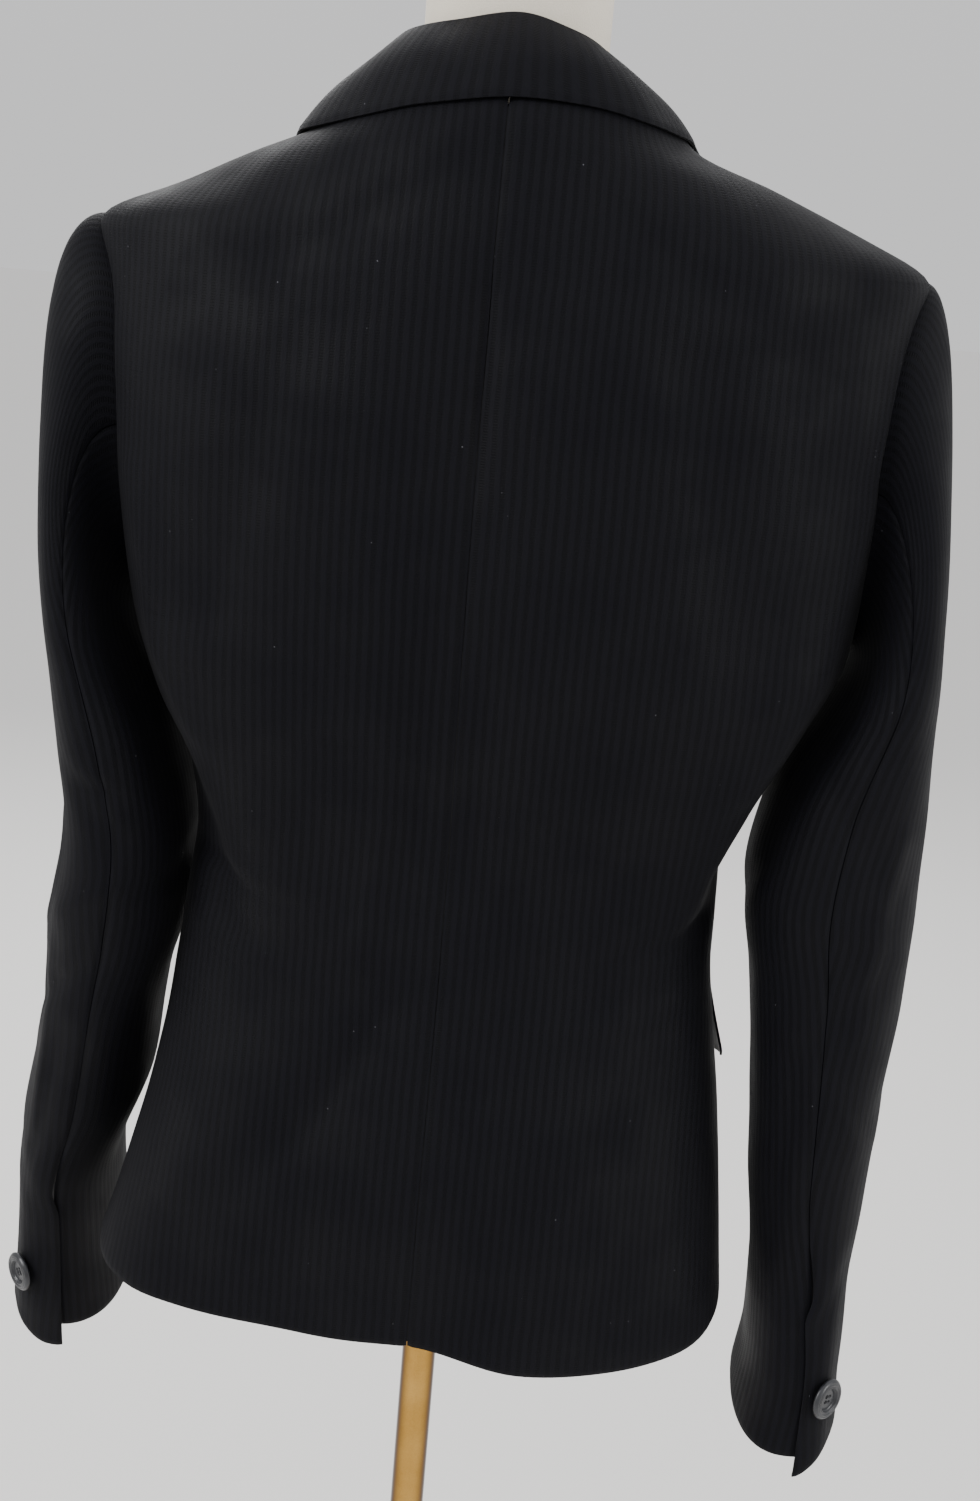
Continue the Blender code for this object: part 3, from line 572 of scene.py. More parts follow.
@dataclass(frozen=True)
class PlainFinish:
    """A finish of one colour that varies slowly and has a fine relief; where edge is given, a painted dark
    reflection is mixed in at its grazing edges.
    """

    name: str
    dark: tuple[float, ...]
    light: tuple[float, ...]
    roughness: tuple[float, float]
    metallic: float = 0.0
    slow_scale: float = 30.0
    fine_scale: float = 900.0
    relief: float = 0.0001
    specular: float = 0.5
    sheen: float = 0.0
    coat: float = 0.0
    # edge: the colour of a painted dark reflection, mixed in where the surface turns away from view
    edge: tuple[float, ...] | None = None

    def material(self, groups: Groups) -> bpy.types.Material:
        """Build the material."""
        material, graph, shader = start_material(self.name, self.metallic)
        place = graph.add("ShaderNodeTexCoord").outputs["Object"]
        slow = graph.group(groups.mottle, {"Position": place, "Scale": self.slow_scale, "Detail": 4.0})
        fine = graph.group(groups.mottle, {"Position": place, "Scale": self.fine_scale, "Detail": 2.0})
        share = graph.math("ADD", graph.math("MULTIPLY", slow.outputs["Value"], 0.7),
                           graph.math("MULTIPLY", fine.outputs["Value"], 0.3))
        colour = graph.mix(share, self.dark, self.light)
        # Painted dark reflection: the edge colour is mixed in where the surface faces away from view,
        # standing in for dark surroundings reflected at grazing angles.
        if self.edge:
            facing = graph.add("ShaderNodeLayerWeight", {"Blend": 0.42}).outputs["Facing"]
            colour = graph.mix(graph.ramp(facing, 0.05, 0.62), colour, self.edge)
        graph.put(colour, shader.inputs["Base Color"])
        graph.roughen(shader, slow.outputs["Value"], self.roughness)
        graph.emboss(shader, fine.outputs["Value"], 0.5, self.relief)
        shader.inputs["Specular IOR Level"].default_value = self.specular
        shader.inputs["Sheen Weight"].default_value = self.sheen
        shader.inputs["Coat Weight"].default_value = self.coat
        return material


LINING = PlainFinish("lining", (0.005, 0.005, 0.006, 1), (0.010, 0.010, 0.012, 1), (0.36, 0.48), specular=0.3)
PLASTIC = PlainFinish("button_plastic", (0.011, 0.0115, 0.0135, 1), (0.024, 0.025, 0.029, 1), (0.26, 0.38),
                      slow_scale=180.0, relief=0.00003)
THREAD = PlainFinish("button_thread", (0.012, 0.012, 0.014, 1), (0.030, 0.030, 0.034, 1), (0.60, 0.75),
                     fine_scale=4000.0)
JERSEY = PlainFinish("form_jersey", (0.66, 0.60, 0.49, 1), (0.78, 0.72, 0.61, 1), (0.62, 0.74),
                     slow_scale=9.0, fine_scale=1500.0, relief=0.00012, specular=0.25, sheen=0.15)
# The gold's edge colour is a painted dark reflection at its grazing edges, not a colour of the metal.
GOLD = PlainFinish("polished_gold", (0.46, 0.25, 0.055, 1), (0.60, 0.35, 0.095, 1), (0.09, 0.15),
                   metallic=1.0, slow_scale=40.0, fine_scale=1200.0, relief=0.00001,
                   edge=(0.060, 0.022, 0.004, 1))


@dataclass
class Palette:
    """The materials, built from the finishes."""

    groups: Groups = field(default_factory=Groups)

    def __post_init__(self) -> None:
        """Build each material once."""
        self.cloth = ClothFinish().material(self.groups)
        self.lining = LINING.material(self.groups)
        self.plastic = PLASTIC.material(self.groups)
        self.thread = THREAD.material(self.groups)
        self.jersey = JERSEY.material(self.groups)
        self.gold = GOLD.material(self.groups)


def grid_faces(rows: int, columns: int, closed: bool = False) -> Array:
    """Four corners of each cell of a grid of points, closed round its columns or not."""
    starts = np.arange(columns if closed else columns - 1)
    nexts = (starts + 1) % columns
    rows_at = np.arange(rows - 1)[:, None] * columns
    corners = [rows_at + starts, rows_at + nexts, rows_at + columns + nexts, rows_at + columns + starts]
    return np.stack(corners, -1).reshape(-1, 4)


def mark_rim(mesh: bpy.types.Mesh) -> None:
    """Mark a mesh's open border sharp, so that a wall's cut edge is crisp."""
    corners = np.array([edge.vertices[:] for edge in mesh.edges])
    used = np.empty(len(mesh.loops), np.int32)
    mesh.loops.foreach_get("edge_index", used)
    count = np.bincount(used, minlength=len(corners))
    for index in np.flatnonzero(count == 1):
        mesh.edges[int(index)].use_edge_sharp = True


def add_piece(
    name: str, points: Array, faces: Array, materials: Sequence[bpy.types.Material]
) -> bpy.types.Object:
    """A smooth mesh object at the origin that rides on the part's one body.

    Args:
        name: The object's name.
        points: Its corners.
        faces: Four corners of each face.
        materials: Its materials.

    Returns:
        The object.
    """
    mesh = bpy.data.meshes.new(name)
    mesh.from_pydata(points.reshape(-1, 3).tolist(), [], faces.tolist())
    mesh.validate()
    for material in materials:
        mesh.materials.append(material)
    mesh.shade_smooth()
    mark_rim(mesh)
    piece = bpy.data.objects.new(name, mesh)
    bpy.context.scene.collection.objects.link(piece)
    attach(piece, ROOT)
    return piece


def arc(points: Array, axis: int) -> Array:
    """Distance along each row (axis 1) or column (axis 0) of a grid."""
    steps = np.linalg.norm(np.diff(points, axis=axis), axis=-1)
    start = np.zeros_like(np.take(steps, [0], axis))
    return np.concatenate([start, np.cumsum(steps, axis)], axis)


@dataclass
class ClothShell:
    """One cut piece of cloth: a grid of points, its grain, its wall and what it stands for."""

    node: str
    points: Array
    across: Array
    along: Array
    inside: Vector
    held: str = "hung"
    rests_on: tuple[str, ...] = ("form_body",)
    slanted_ends: bool = False
    wall: float = 0.0012

    def build(self, palette: Palette) -> bpy.types.Object:
        """Args:
            palette: The materials.

        Returns:
            The piece.
        """
        rows, columns = self.points.shape[:2]
        faces = grid_faces(rows, columns)
        centre = self.points[rows // 2, columns // 2]
        across = self.points[rows // 2, columns // 2 + 1] - centre
        up = self.points[rows // 2 + 1, columns // 2] - centre
        if np.cross(across, up) @ (centre - np.array(self.inside)) < 0:
            faces = faces[:, ::-1]
        piece = add_piece(f"{self.node}_cloth", self.points, faces, (palette.cloth, palette.lining))
        grain = np.stack([self.across, self.along], -1).reshape(-1, 2)
        corners = np.empty(len(piece.data.loops), np.int32)
        piece.data.loops.foreach_get("vertex_index", corners)
        layer = piece.data.uv_layers.new(name="grain")
        layer.data.foreach_set("uv", grain[corners].astype(np.float32).ravel())
        shell = piece.modifiers.new("Wall", "SOLIDIFY")
        shell.thickness = self.wall
        shell.offset = -1
        shell.use_quality_normals = True
        shell.material_offset = 1
        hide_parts(self.node)
        self.declare()
        LOG.info("%s: %d faces", piece.name, len(faces))
        return piece

    def declare(self) -> None:
        width = float(arc(self.points, 1)[:, -1].max())
        columns = arc(self.points, 0)[-1]


def turned_in(distance: Array, depth: float = 0.0011, reach: float = 0.0016) -> Array:
    """How far an edge sinks into its seam at a distance from it."""
    return -depth * np.exp(-((distance / reach) ** 2))


def build_panels(kind: str, cut: Callable[[Side], tuple[Array, Array, Array]], palette: Palette) -> None:
    """Make the left and the right panel of a kind, hung round the trunk."""
    inside = Vector((0, 0, CORE_HEIGHT))
    for side in Side:
        points, across, along = cut(side)
        ClothShell(f"{kind}_{side.word}", points, across, along, inside, slanted_ends=True).build(palette)


@dataclass
class Backs:
    """The two back panels, joined at the centre back seam."""

    columns: int = 46
    below: int = 90
    along: int = 60
    above: int = 24
    seam_gap: float = 0.0005
    tape_depth: float = 0.0026
    tape_width: float = 0.012
    ripple_seed: float = 4.0

    def points(self, side: Side) -> tuple[Array, Array, Array]:
        """The panel's points, its distance across from the centre back, and its height."""
        heights = TRUNK.panel_heights(self.below, self.along, self.above, TRUNK.nape)[:, None]
        sign = side.value
        shares = edged(self.columns, 0.19)[None, :]
        outer = TRUNK.outer_angle(heights, back=True)
        gap = TRUNK.degrees_of(self.seam_gap / 2, sign * outer, heights)
        start = TRUNK.degrees_of(self.seam_gap / 2, 0 * heights, heights)
        angle = sign * (start + (outer - gap - start) * shares)
        height = np.broadcast_to(heights, angle.shape)
        dip = TRUNK.neck_dip * (1 - np.cos(np.radians(angle))) * blend(TRUNK.shoulder, TRUNK.nape, height)
        rows = height - TRUNK.hem_drop(angle, height) - dip
        plain = TRUNK.point(angle, rows)
        lift = TRUNK.ripple_height * ripple(plain, TRUNK.ripple_size, self.ripple_seed)
        distance = arc(plain, 1)
        width = distance[:, -1:]
        lift = lift + turned_in(distance) + turned_in(width - distance, 0.0006)
        lift = lift + turned_in(height - TRUNK.hem, 0.0008)
        return TRUNK.lifted(angle, rows, lift), sign * distance, height

    def build(self, palette: Palette) -> None:
        """Make both panels."""
        build_panels("back", self.points, palette)
        self.tape(palette)

    def tape(self, palette: Palette) -> None:
        """The centre back seam's pressed allowance, inside the cloth."""
        heights = np.linspace(TRUNK.hem + 0.003, TRUNK.nape - 0.008, 160)[:, None]
        columns = np.linspace(-0.5, 0.5, 5)[None, :]
        angle = TRUNK.degrees_of(self.tape_width, 0 * heights, heights) * columns
        points = TRUNK.lifted(angle, heights + 0 * angle, -self.tape_depth + 0 * angle)
        faces = grid_faces(*points.shape[:2])[:, ::-1]
        tape = add_piece("back_seam_allowance", points, faces, (palette.lining,))


@dataclass
class Fronts:
    """The two fronts. The wearer's right one laps over the left one round the centre."""

    columns: int = 46
    below: int = 90
    along: int = 60
    above: int = 24
    seam_gap: float = -0.0004
    top: float = 1.4285
    button_stand: float = 0.020
    break_height: float = 1.120
    roll_neck: float = 0.064
    roll_edge: float = 0.0020
    overlap: float = 0.0025
    lapel_rise: float = 0.0045
    gorge: float = 1.374

    def roll_x(self, height: Array) -> Array:
        """How far from the middle the roll line is on the wearer's left."""
        share = (height - self.break_height) / (TRUNK.nape - self.break_height)
        return -self.button_stand + (self.roll_neck + self.button_stand) * share

    def overlap_rise(self, side: Side, angle: Array, height: Array) -> Array:
        """How far the right front lies out over the left one."""
        if side is Side.LEFT:
            return np.zeros(np.broadcast(angle, height).shape)
        past = np.radians(angle - 180) * TRUNK.reach(180 + 0 * height, height)
        lapel = blend(self.break_height - 0.030, self.break_height - 0.004, height)
        rise = self.overlap + self.lapel_rise * lapel
        return rise * blend(-self.button_stand - 0.030, -self.button_stand - 0.004, past)

    def points(self, side: Side) -> tuple[Array, Array, Array]:
        """The panel's points, its distance across from the centre front, and its height."""
        heights = TRUNK.panel_heights(self.below, self.along, self.above, self.top)[:, None]
        sign = side.value
        shares = edged(self.columns, 0.20)[None, :]
        outer = TRUNK.outer_angle(heights, back=False)
        start = outer + TRUNK.degrees_of(self.seam_gap / 2, sign * outer, heights)
        edge_x = self.roll_x(np.maximum(heights, self.break_height))
        edge = TRUNK.front_angle(edge_x, heights)
        turned_back = blend(self.break_height - 0.02, self.break_height + 0.02, heights)
        turned_back = turned_back * (1 - blend(self.gorge - 0.008, self.gorge + 0.002, heights))
        edge = edge - TRUNK.degrees_of(self.roll_edge * turned_back, edge, heights)
        bare = start + (np.maximum(edge, start + 2) - start) * shares
        height = np.broadcast_to(heights, bare.shape)
        rows = height - TRUNK.hem_drop(sign * np.minimum(bare, 180), height)
        angle = sign * bare
        rise = self.overlap_rise(side, bare, height)
        plain = TRUNK.point(angle, rows)
        distance = arc(plain, 1)
        lift = TRUNK.ripple_height * ripple(plain, TRUNK.ripple_size, 9.0) * (1 - blend(150, 172, bare))
        lift = lift + turned_in(distance) + turned_in(distance[:, -1:] - distance, 0.0004)
        lift = lift + turned_in(height - TRUNK.hem, 0.0008) + rise
        across = distance - distance[:, -1:] + sign * edge_x
        return TRUNK.lifted(angle, rows, lift), across, height

    def build(self, palette: Palette) -> None:
        """Make both fronts."""
        build_panels("front", self.points, palette)


FRONTS = Fronts()


@dataclass
class Lapels:
    """The lapels, each folded back on its front along the roll line."""

    widths: tuple[tuple[float, float], ...] = ((0.0, 0.004), (0.35, 0.034), (0.7, 0.054), (1.0, 0.066))
    gorge_neck: float = 1.374
    gorge_point: float = 1.346
    belly: float = 0.0040
    lie: float = 0.0015
    start: float = 0.0016
    wraps: tuple[tuple[float, float], ...] = ((0.0004, -0.0014), (0.0, -0.0002), (0.0, 0.0010))
    columns: int = 26
    rows: int = 90

    def points(self, side: Side) -> tuple[Array, Array, Array]:
        """The lapel's points, its distance from the roll line, and the way along it."""
        share = (np.arange(self.rows + 1) / self.rows)[:, None]
        width = smooth_rows(self.widths)(share)[..., 0]
        neck = FRONTS.break_height + (self.gorge_neck - FRONTS.break_height) * share
        tip = FRONTS.break_height + (self.gorge_point - FRONTS.break_height) * share
        span = (np.linspace(0, 1, self.columns) * 0.985 + 0.015)[None, :]
        wrap = np.array(self.wraps)
        reach = np.hstack([np.broadcast_to(wrap[:, 0], (len(share), len(wrap))), width * span + self.start])
        across = np.hstack([0 * share + np.zeros(len(wrap)), 0 * share + span])
        height = neck + (tip - neck) * across
        belly = self.belly * np.sin(np.pi * np.minimum(span * 2.2, 1.0)) * share
        lift = np.hstack([np.broadcast_to(wrap[:, 1], (len(share), len(wrap))), self.lie + belly])
        bare = TRUNK.front_angle(FRONTS.roll_x(neck) + reach, height)
        lift = lift + FRONTS.overlap_rise(side, bare, height)
        points = TRUNK.lifted(side.value * bare, height, lift)
        return points, arc(points, 1), np.broadcast_to(height, points.shape[:2])

    def build(self, palette: Palette) -> None:
        """Make both lapels."""
        for side in Side:
            points, across, along = self.points(side)
            node = f"lapel_{side.word}"
            inside = Vector((0, 0, 1.2))
            rests = (f"front_{side.word}_cloth",)
            ClothShell(node, points, across, along, inside, "folded", rests).build(palette)


@dataclass
class Collar:
    """The turned collar: its stand up from the neck seam, its fold, and its fall on the trunk."""

    stations: tuple[tuple[float, ...], ...] = (
        (0, 1.4275, 0.0000, 0.0510, 1.4665),
        (24, 1.4248, 0.0240, 0.0460, 1.4620),
        (46, 1.4190, 0.0400, 0.0310, 1.4580),
        (66, 1.4145, 0.0495, 0.0120, 1.4510),
        (90, 1.4125, 0.0550, -0.0130, 1.4440),
        (112, 1.4000, 0.0580, -0.0370, 1.4330),
        (128, 1.3860, 0.0555, -0.0550, 1.4130),
        (140, 1.3720, 0.0510, -0.0690, 1.3900),
    )
    shift: float = 0.0090
    tilt: float = 0.0050
    roll: float = 0.0030
    belly: float = 0.0035
    front: float = 4 / 7
    lie: float = 0.0026
    along: int = 180
    steps: tuple[int, int, int] = (8, 12, 26)

    def both_sides(self) -> list[tuple[float, ...]]:
        """The stations of both sides, keyed from -1 to 1 along the collar."""
        last = len(self.stations) - 1
        right = [(-k / last, -row[0], row[1], -row[2], *row[3:]) for k, row in enumerate(self.stations) if k]
        return right[::-1] + [(k / last, *row) for k, row in enumerate(self.stations)]

    def seam(self, share: Array, sign: Array) -> Array:
        """Where the collar is sewn on, round the neckline and then down the roll line."""
        turn = 90 * np.minimum(share / self.front, 1)
        dip = TRUNK.neck_dip * (1 - np.cos(np.radians(turn)))
        seat = TRUNK.point(sign * turn, TRUNK.nape - dip, out=-0.0012)
        seat[..., 2] += 0.0009 + 0.0012 * share
        fall = np.clip((share - self.front) / (1 - self.front), 0, 1)
        start, end = TRUNK.nape - TRUNK.neck_dip - 0.001, LAPELS.gorge_neck + 0.0006
        height = start + (end - start) * fall
        turn = TRUNK.front_angle(FRONTS.roll_x(height) - 0.0002 - 0.0025 * (1 - fall), height)
        down = TRUNK.lifted(sign * turn, height, 0.0040 * (1 - fall) - 0.0006 * fall)
        return np.where((share <= self.front)[..., None], seat, down)

    def points(self) -> tuple[Array, Array, Array]:
        """The collar's points, its distance along the fold, and across it."""
        place = np.linspace(-1, 1, self.along + 1)
        share, sign = np.abs(place), np.where(place < 0, -1.0, 1.0)
        angle, height, x, y, top = np.moveaxis(smooth_rows(self.both_sides())(place), -1, 0)
        shift = self.shift * blend(0.0, 0.35, share) * (1 - blend(0.55, 0.9, share))
        fold = np.stack([x + shift, y, top], -1)
        tilt = self.tilt * np.sin(np.radians(angle))
        edge = TRUNK.lifted(angle, height - tilt, self.lie + 0 * angle)
        seam = self.seam(share, sign)
        up = np.array([0.0, 0.0, 1.0])
        out = unit((edge - fold) * np.array([1.0, 1.0, 0.0]))
        centre = fold + (out - up) * self.roll
        first = centre - out * self.roll
        stand, turn, fall = self.steps
        rows = [seam + (first - seam) * k / stand for k in range(stand)]
        for k in range(turn + 1):
            bend = math.radians(180 - 135 * k / turn)
            rows.append(centre + (out * math.cos(bend) + up * math.sin(bend)) * self.roll)
        last = rows[-1]
        for k in range(1, fall + 1):
            part = k / fall
            bulge = math.sin(math.pi * part) * self.belly - 0.0007 * blend(0.97, 1.0, part)
            rows.append(last + (edge - last) * part + unit(out + up) * bulge)
        points = np.stack(rows, 0)
        wave = ripple(points, 0.030, 2.0)
        weight = np.linspace(0, 1, len(rows))[:, None, None] ** 2
        points = points + unit(out + up)[None] * (0.0006 * (1 + wave))[..., None] * weight * (1 - weight) * 4
        middle = arc(points[stand + turn : stand + turn + 1], 1)
        along = np.broadcast_to(middle - middle[:, self.along // 2 : self.along // 2 + 1], points.shape[:2])
        return points, along, arc(points, 0)

    def build(self, palette: Palette) -> None:
        """Make the collar."""
        points, across, along = self.points()
        rests = ("back_left_cloth", "back_right_cloth")
        ClothShell("collar", points, across, along, Vector((0, 0.070, 1.42)), "folded", rests).build(palette)


LAPELS = Lapels()


@dataclass
class SleeveShape:
    """One sleeve's rings: height, out, back, half sizes across and along, and drop to the back."""

    side: Side
    rings: tuple[tuple[float, ...], ...]
    head: float
    folds: tuple[Fold, ...]
    square: float = 2.4
    cap_share: float = 0.3
    foot: float = 0.010
    lean: float = 0.35
    lift: float = 0.22
    drape: float = 0.42
    armhole_gap: float = -0.0010
    tuck: float = 0.0014
    back_seam: float = 94.0
    front_seam: float = 240.0
    seam_gap: float = 0.0004
    front_gap: float = -0.0008
    vent_height: float = 0.090
    vent_lap: float = 0.004
    vent_turn: float = 0.0
    vent_tip: float = 0.012
    vent_rise: float = 0.0028
    vent_ease: float = 36.0
    fold_radius: float = 0.046
    fold_length: float = 0.60

    def __post_init__(self) -> None:
        """Prepare the table of rings."""
        self.ring_at = smooth_rows(self.rings)

    def ring(self, turn: Array, height: Array) -> Array:
        """Points of the rings at heights: turn 0 is the outer side and 90 the back."""
        out, back, across, along, drop = np.moveaxis(self.ring_at(height), -1, 0)
        cos, sin = np.cos(np.radians(turn)), np.sin(np.radians(turn))
        x = np.sign(cos) * across * np.abs(cos) ** (2 / self.square)
        y = np.sign(sin) * along * np.abs(sin) ** (2 / self.square)
        return np.stack([self.side.value * (out + x), back + y, height - drop * y], -1)

    def bare(self, turn: Array, share: Array) -> Array:
        """Points of the sleeve with no folds: share 0 is the armhole and 1 the cuff."""
        turn, share = np.broadcast_arrays(np.asarray(turn, float), np.asarray(share, float))
        top, cuff = self.rings[0][0], self.rings[-1][0]
        low = top + (cuff - top) * (np.maximum(share, self.cap_share) - self.cap_share) / (1 - self.cap_share)
        arm = self.ring(turn, low)
        angle, height = TRUNK.armhole(turn, self.armhole_gap)
        start = TRUNK.lifted(self.side.value * angle, height, -self.tuck)
        end = self.ring(turn, top + 0 * turn)
        cos, sin = np.cos(np.radians(turn)), np.sin(np.radians(turn))
        rise = self.foot + (self.head - self.foot) * (1 + cos) / 2
        leave = np.stack([self.side.value + 0 * cos, self.lean * sin, self.lift * cos], -1) * rise[..., None]
        length = np.linalg.norm(start - end, axis=-1)
        along = unit(end - self.ring(turn, top - 0.006 + 0 * turn))
        arrive = end + along * (self.drape * length)[..., None]
        t = np.clip(share / self.cap_share, 0, 1)[..., None]
        left = 1 - t
        cap = start * left**3 + (start + leave) * 3 * t * left**2 + arrive * 3 * t * t * left + end * t**3
        return np.where((share >= self.cap_share)[..., None], arm, cap)

    def point(self, turn: Array, share: Array, out: Array = 0.0) -> Array:
        """Points of the sleeve, moved out by a distance and by its folds."""
        here = self.bare(turn, share)
        centre = (self.ring(0 * turn, here[..., 2]) + self.ring(0 * turn + 180, here[..., 2])) / 2
        away = unit((here - centre) * np.array([1.0, 1.0, 0.0]))
        fade = blend(0.02, 0.10, share)
        scale = math.radians(1) * self.fold_radius
        push = sum_of_folds(self.folds, turn, share, scale, self.fold_length) * fade
        return here + away * (np.asarray(out) + push)[..., None]

    def back_seam_at(self, share: Array) -> Array:
        """The back seam's turn, which moves outwards at the vent."""
        vent = self.share_above_cuff(self.vent_height)
        return self.back_seam - self.vent_turn * blend(vent - 0.10, vent + 0.10, share)

    def share_above_cuff(self, distance: float) -> float:
        """The share of the way down at a distance above the cuff."""
        return 1 - (1 - self.cap_share) * distance / (self.rings[0][0] - self.rings[-1][0])

    def degrees_of(self, distance: Array, turn: float, share: Array) -> Array:
        """The turn that a distance round the sleeve spans there."""
        step = np.linalg.norm(self.bare(turn + 1, share) - self.bare(turn - 1, share), axis=-1) / 2
        return distance / step

    def top_point(self, turn: Array, share: Array, out: Array = 0.0) -> Array:
        """Points of the top sleeve, which rises over the under sleeve at the vent."""
        vent = self.share_above_cuff(self.vent_height)
        lap = blend(self.vent_ease, 0.7 * self.back_seam, turn) * blend(vent - 0.06, vent, share)
        here = self.point(turn, share, np.asarray(out) + self.vent_rise * lap)
        tip = blend(0.90, 1.0, share) * blend(0.5 * self.back_seam, self.back_seam, turn)
        here[..., 2] -= self.vent_tip * tip
        return here


@dataclass
class Sleeves:
    """Both sleeves, each cut as a top sleeve and an under sleeve."""

    left: SleeveShape = field(default_factory=lambda: SleeveShape(
        Side.LEFT,
        (
            (1.160, 0.1920, 0.002, 0.0210, 0.074, 0.00),
            (1.110, 0.1800, 0.004, 0.0280, 0.070, 0.00),
            (1.060, 0.1735, 0.002, 0.0315, 0.064, 0.05),
            (1.010, 0.1790, -0.002, 0.0340, 0.060, 0.05),
            (0.960, 0.1875, -0.010, 0.0300, 0.057, 0.05),
            (0.900, 0.1980, -0.020, 0.0320, 0.054, 0.08),
            (0.840, 0.2110, -0.030, 0.0260, 0.051, 0.12),
            (0.757, 0.2115, -0.040, 0.0320, 0.048, 0.18),
        ),
        0.036,
        (
            Fold(60, 0.40, 100, 0.46, 0.009, -0.0022),
            Fold(100, 0.50, 30, 0.56, 0.008, 0.0020),
            Fold(96, 0.58, 20, 0.66, 0.007, -0.0020),
            Fold(40, 0.58, 60, 0.78, 0.007, 0.0018),
            Fold(120, 0.52, 190, 0.50, 0.010, -0.0022),
            Fold(200, 0.56, 260, 0.60, 0.009, 0.0020),
            Fold(-60, 0.54, 10, 0.60, 0.010, -0.0018),
            Fold(-70, 0.36, -40, 0.50, 0.012, 0.0016),
            Fold(20, 0.80, 80, 0.86, 0.010, -0.0014),
            Fold(104, 0.42, 78, 0.415, 0.005, -0.0026),
            Fold(30, 0.46, 14, 0.70, 0.006, 0.0022),
            Fold(74, 0.66, 62, 0.84, 0.008, -0.0016),
        ),
    ))
    right: SleeveShape = field(default_factory=lambda: SleeveShape(
        Side.RIGHT,
        (
            (1.160, 0.2070, 0.002, 0.0255, 0.074, 0.00),
            (1.110, 0.1970, 0.004, 0.0390, 0.066, 0.00),
            (1.060, 0.1935, 0.006, 0.0440, 0.061, 0.00),
            (1.010, 0.1975, 0.008, 0.0395, 0.059, 0.00),
            (0.960, 0.1990, 0.011, 0.0345, 0.057, 0.00),
            (0.900, 0.2010, 0.014, 0.0305, 0.054, 0.02),
            (0.845, 0.2030, 0.018, 0.0260, 0.051, 0.08),
            (0.805, 0.2045, 0.020, 0.0260, 0.049, 0.16),
            (0.770, 0.2035, 0.022, 0.0290, 0.048, 0.22),
        ),
        0.019,
        (
            Fold(110, 0.36, 60, 0.46, 0.010, -0.0020),
            Fold(96, 0.48, 40, 0.52, 0.008, 0.0020),
            Fold(70, 0.54, 110, 0.62, 0.008, -0.0022),
            Fold(120, 0.60, 60, 0.70, 0.008, 0.0015),
            Fold(150, 0.44, 200, 0.52, 0.010, -0.0020),
            Fold(-60, 0.50, 0, 0.56, 0.010, -0.0018),
            Fold(-40, 0.60, 20, 0.70, 0.009, 0.0014),
            Fold(50, 0.82, 90, 0.90, 0.009, -0.0012),
            Fold(60, 0.40, 78, 0.58, 0.007, 0.0020),
            Fold(112, 0.62, 132, 0.80, 0.009, -0.0018),
        ),
        vent_turn=16.0,
    ))
    top_columns: int = 60
    under_columns: int = 40
    cap_rows: int = 44
    arm_rows: int = 100

    def shares(self) -> Array:
        """Shares of a sleeve's rows, close at the armhole and at the cuff."""
        seam = [0.0, 0.0014, 0.003, 0.005]
        cap = np.concatenate([seam, np.linspace(0.009, 0.3, self.cap_rows, endpoint=False)])
        arm = np.concatenate([np.linspace(0.3, 0.9935, self.arm_rows), [0.996, 0.998, 0.9992, 1.0]])
        return np.concatenate([cap, arm])[:, None]

    def edge_lift(self, shape: SleeveShape, turn: Array, share: Array, first: Array, last: Array) -> Array:
        """How far the cloth sinks at its seams and its cuff, with its slow unevenness."""
        plain = shape.bare(turn, share)
        girth = arc(plain, 1)
        lift = 0.0008 * ripple(plain, 0.035, 6.0) * blend(0.02, 0.12, share)
        lift = lift + turned_in(girth) * first + turned_in(girth[:, -1:] - girth) * last
        return lift + turned_in((1 - share) * 0.6, 0.0006)

    def measured(self, points: Array) -> tuple[Array, Array, Array]:
        """The points, the distance round from their middle column and the way down."""
        girth = arc(points, 1)
        middle = girth.shape[1] // 2
        return points, girth - girth[:, middle : middle + 1], -arc(points, 0)

    def top(self, shape: SleeveShape) -> tuple[Array, Array, Array]:
        """The top sleeve's points, the distance round it and the way down it."""
        share = self.shares()
        start_turn, end_turn = shape.front_seam - 360, shape.back_seam_at(share)
        first = start_turn + shape.degrees_of(shape.front_gap / 2, start_turn, share)
        vent = shape.share_above_cuff(shape.vent_height)
        lap = blend(vent, vent + 0.03, share)
        last = end_turn + shape.degrees_of(shape.vent_lap * lap - shape.seam_gap / 2, end_turn, share)
        turn = first + (last - first) * edged(self.top_columns, 0.17)[None, :]
        share = np.broadcast_to(share, turn.shape)
        lift = self.edge_lift(shape, turn, share, 1.0 + 0 * first, 1 - 0.5 * lap)
        return self.measured(shape.top_point(turn, share, lift))

    def under(self, shape: SleeveShape) -> tuple[Array, Array, Array]:
        """The under sleeve's points, the distance round it and the way down it."""
        share = self.shares()
        first = shape.back_seam_at(share) + shape.degrees_of(shape.seam_gap / 2, shape.back_seam, share)
        last = shape.front_seam - shape.degrees_of(shape.front_gap / 2, shape.front_seam, share)
        turn = first + (last - first) * edged(self.under_columns, 0.11)[None, :]
        share = np.broadcast_to(share, turn.shape)
        lift = self.edge_lift(shape, turn, share, 1.0 + 0 * first, 1.0 + 0 * first)
        return self.measured(shape.point(turn, share, lift))

    def build(self, palette: Palette) -> None:
        """Make the four pieces."""
        for shape in (self.left, self.right):
            for part, cut in (("top", self.top), ("under", self.under)):
                points, across, along = cut(shape)
                height = points[len(points) // 2, points.shape[1] // 2, 2]
                inside = Vector((shape.ring(0, height) + shape.ring(180, height)) / 2)
                hangs = (f"back_{shape.side.word}_cloth", f"front_{shape.side.word}_cloth")
                node = f"sleeve_{part}_{shape.side.word}"
                ClothShell(node, points, across, along, inside, "hung", hangs).build(palette)


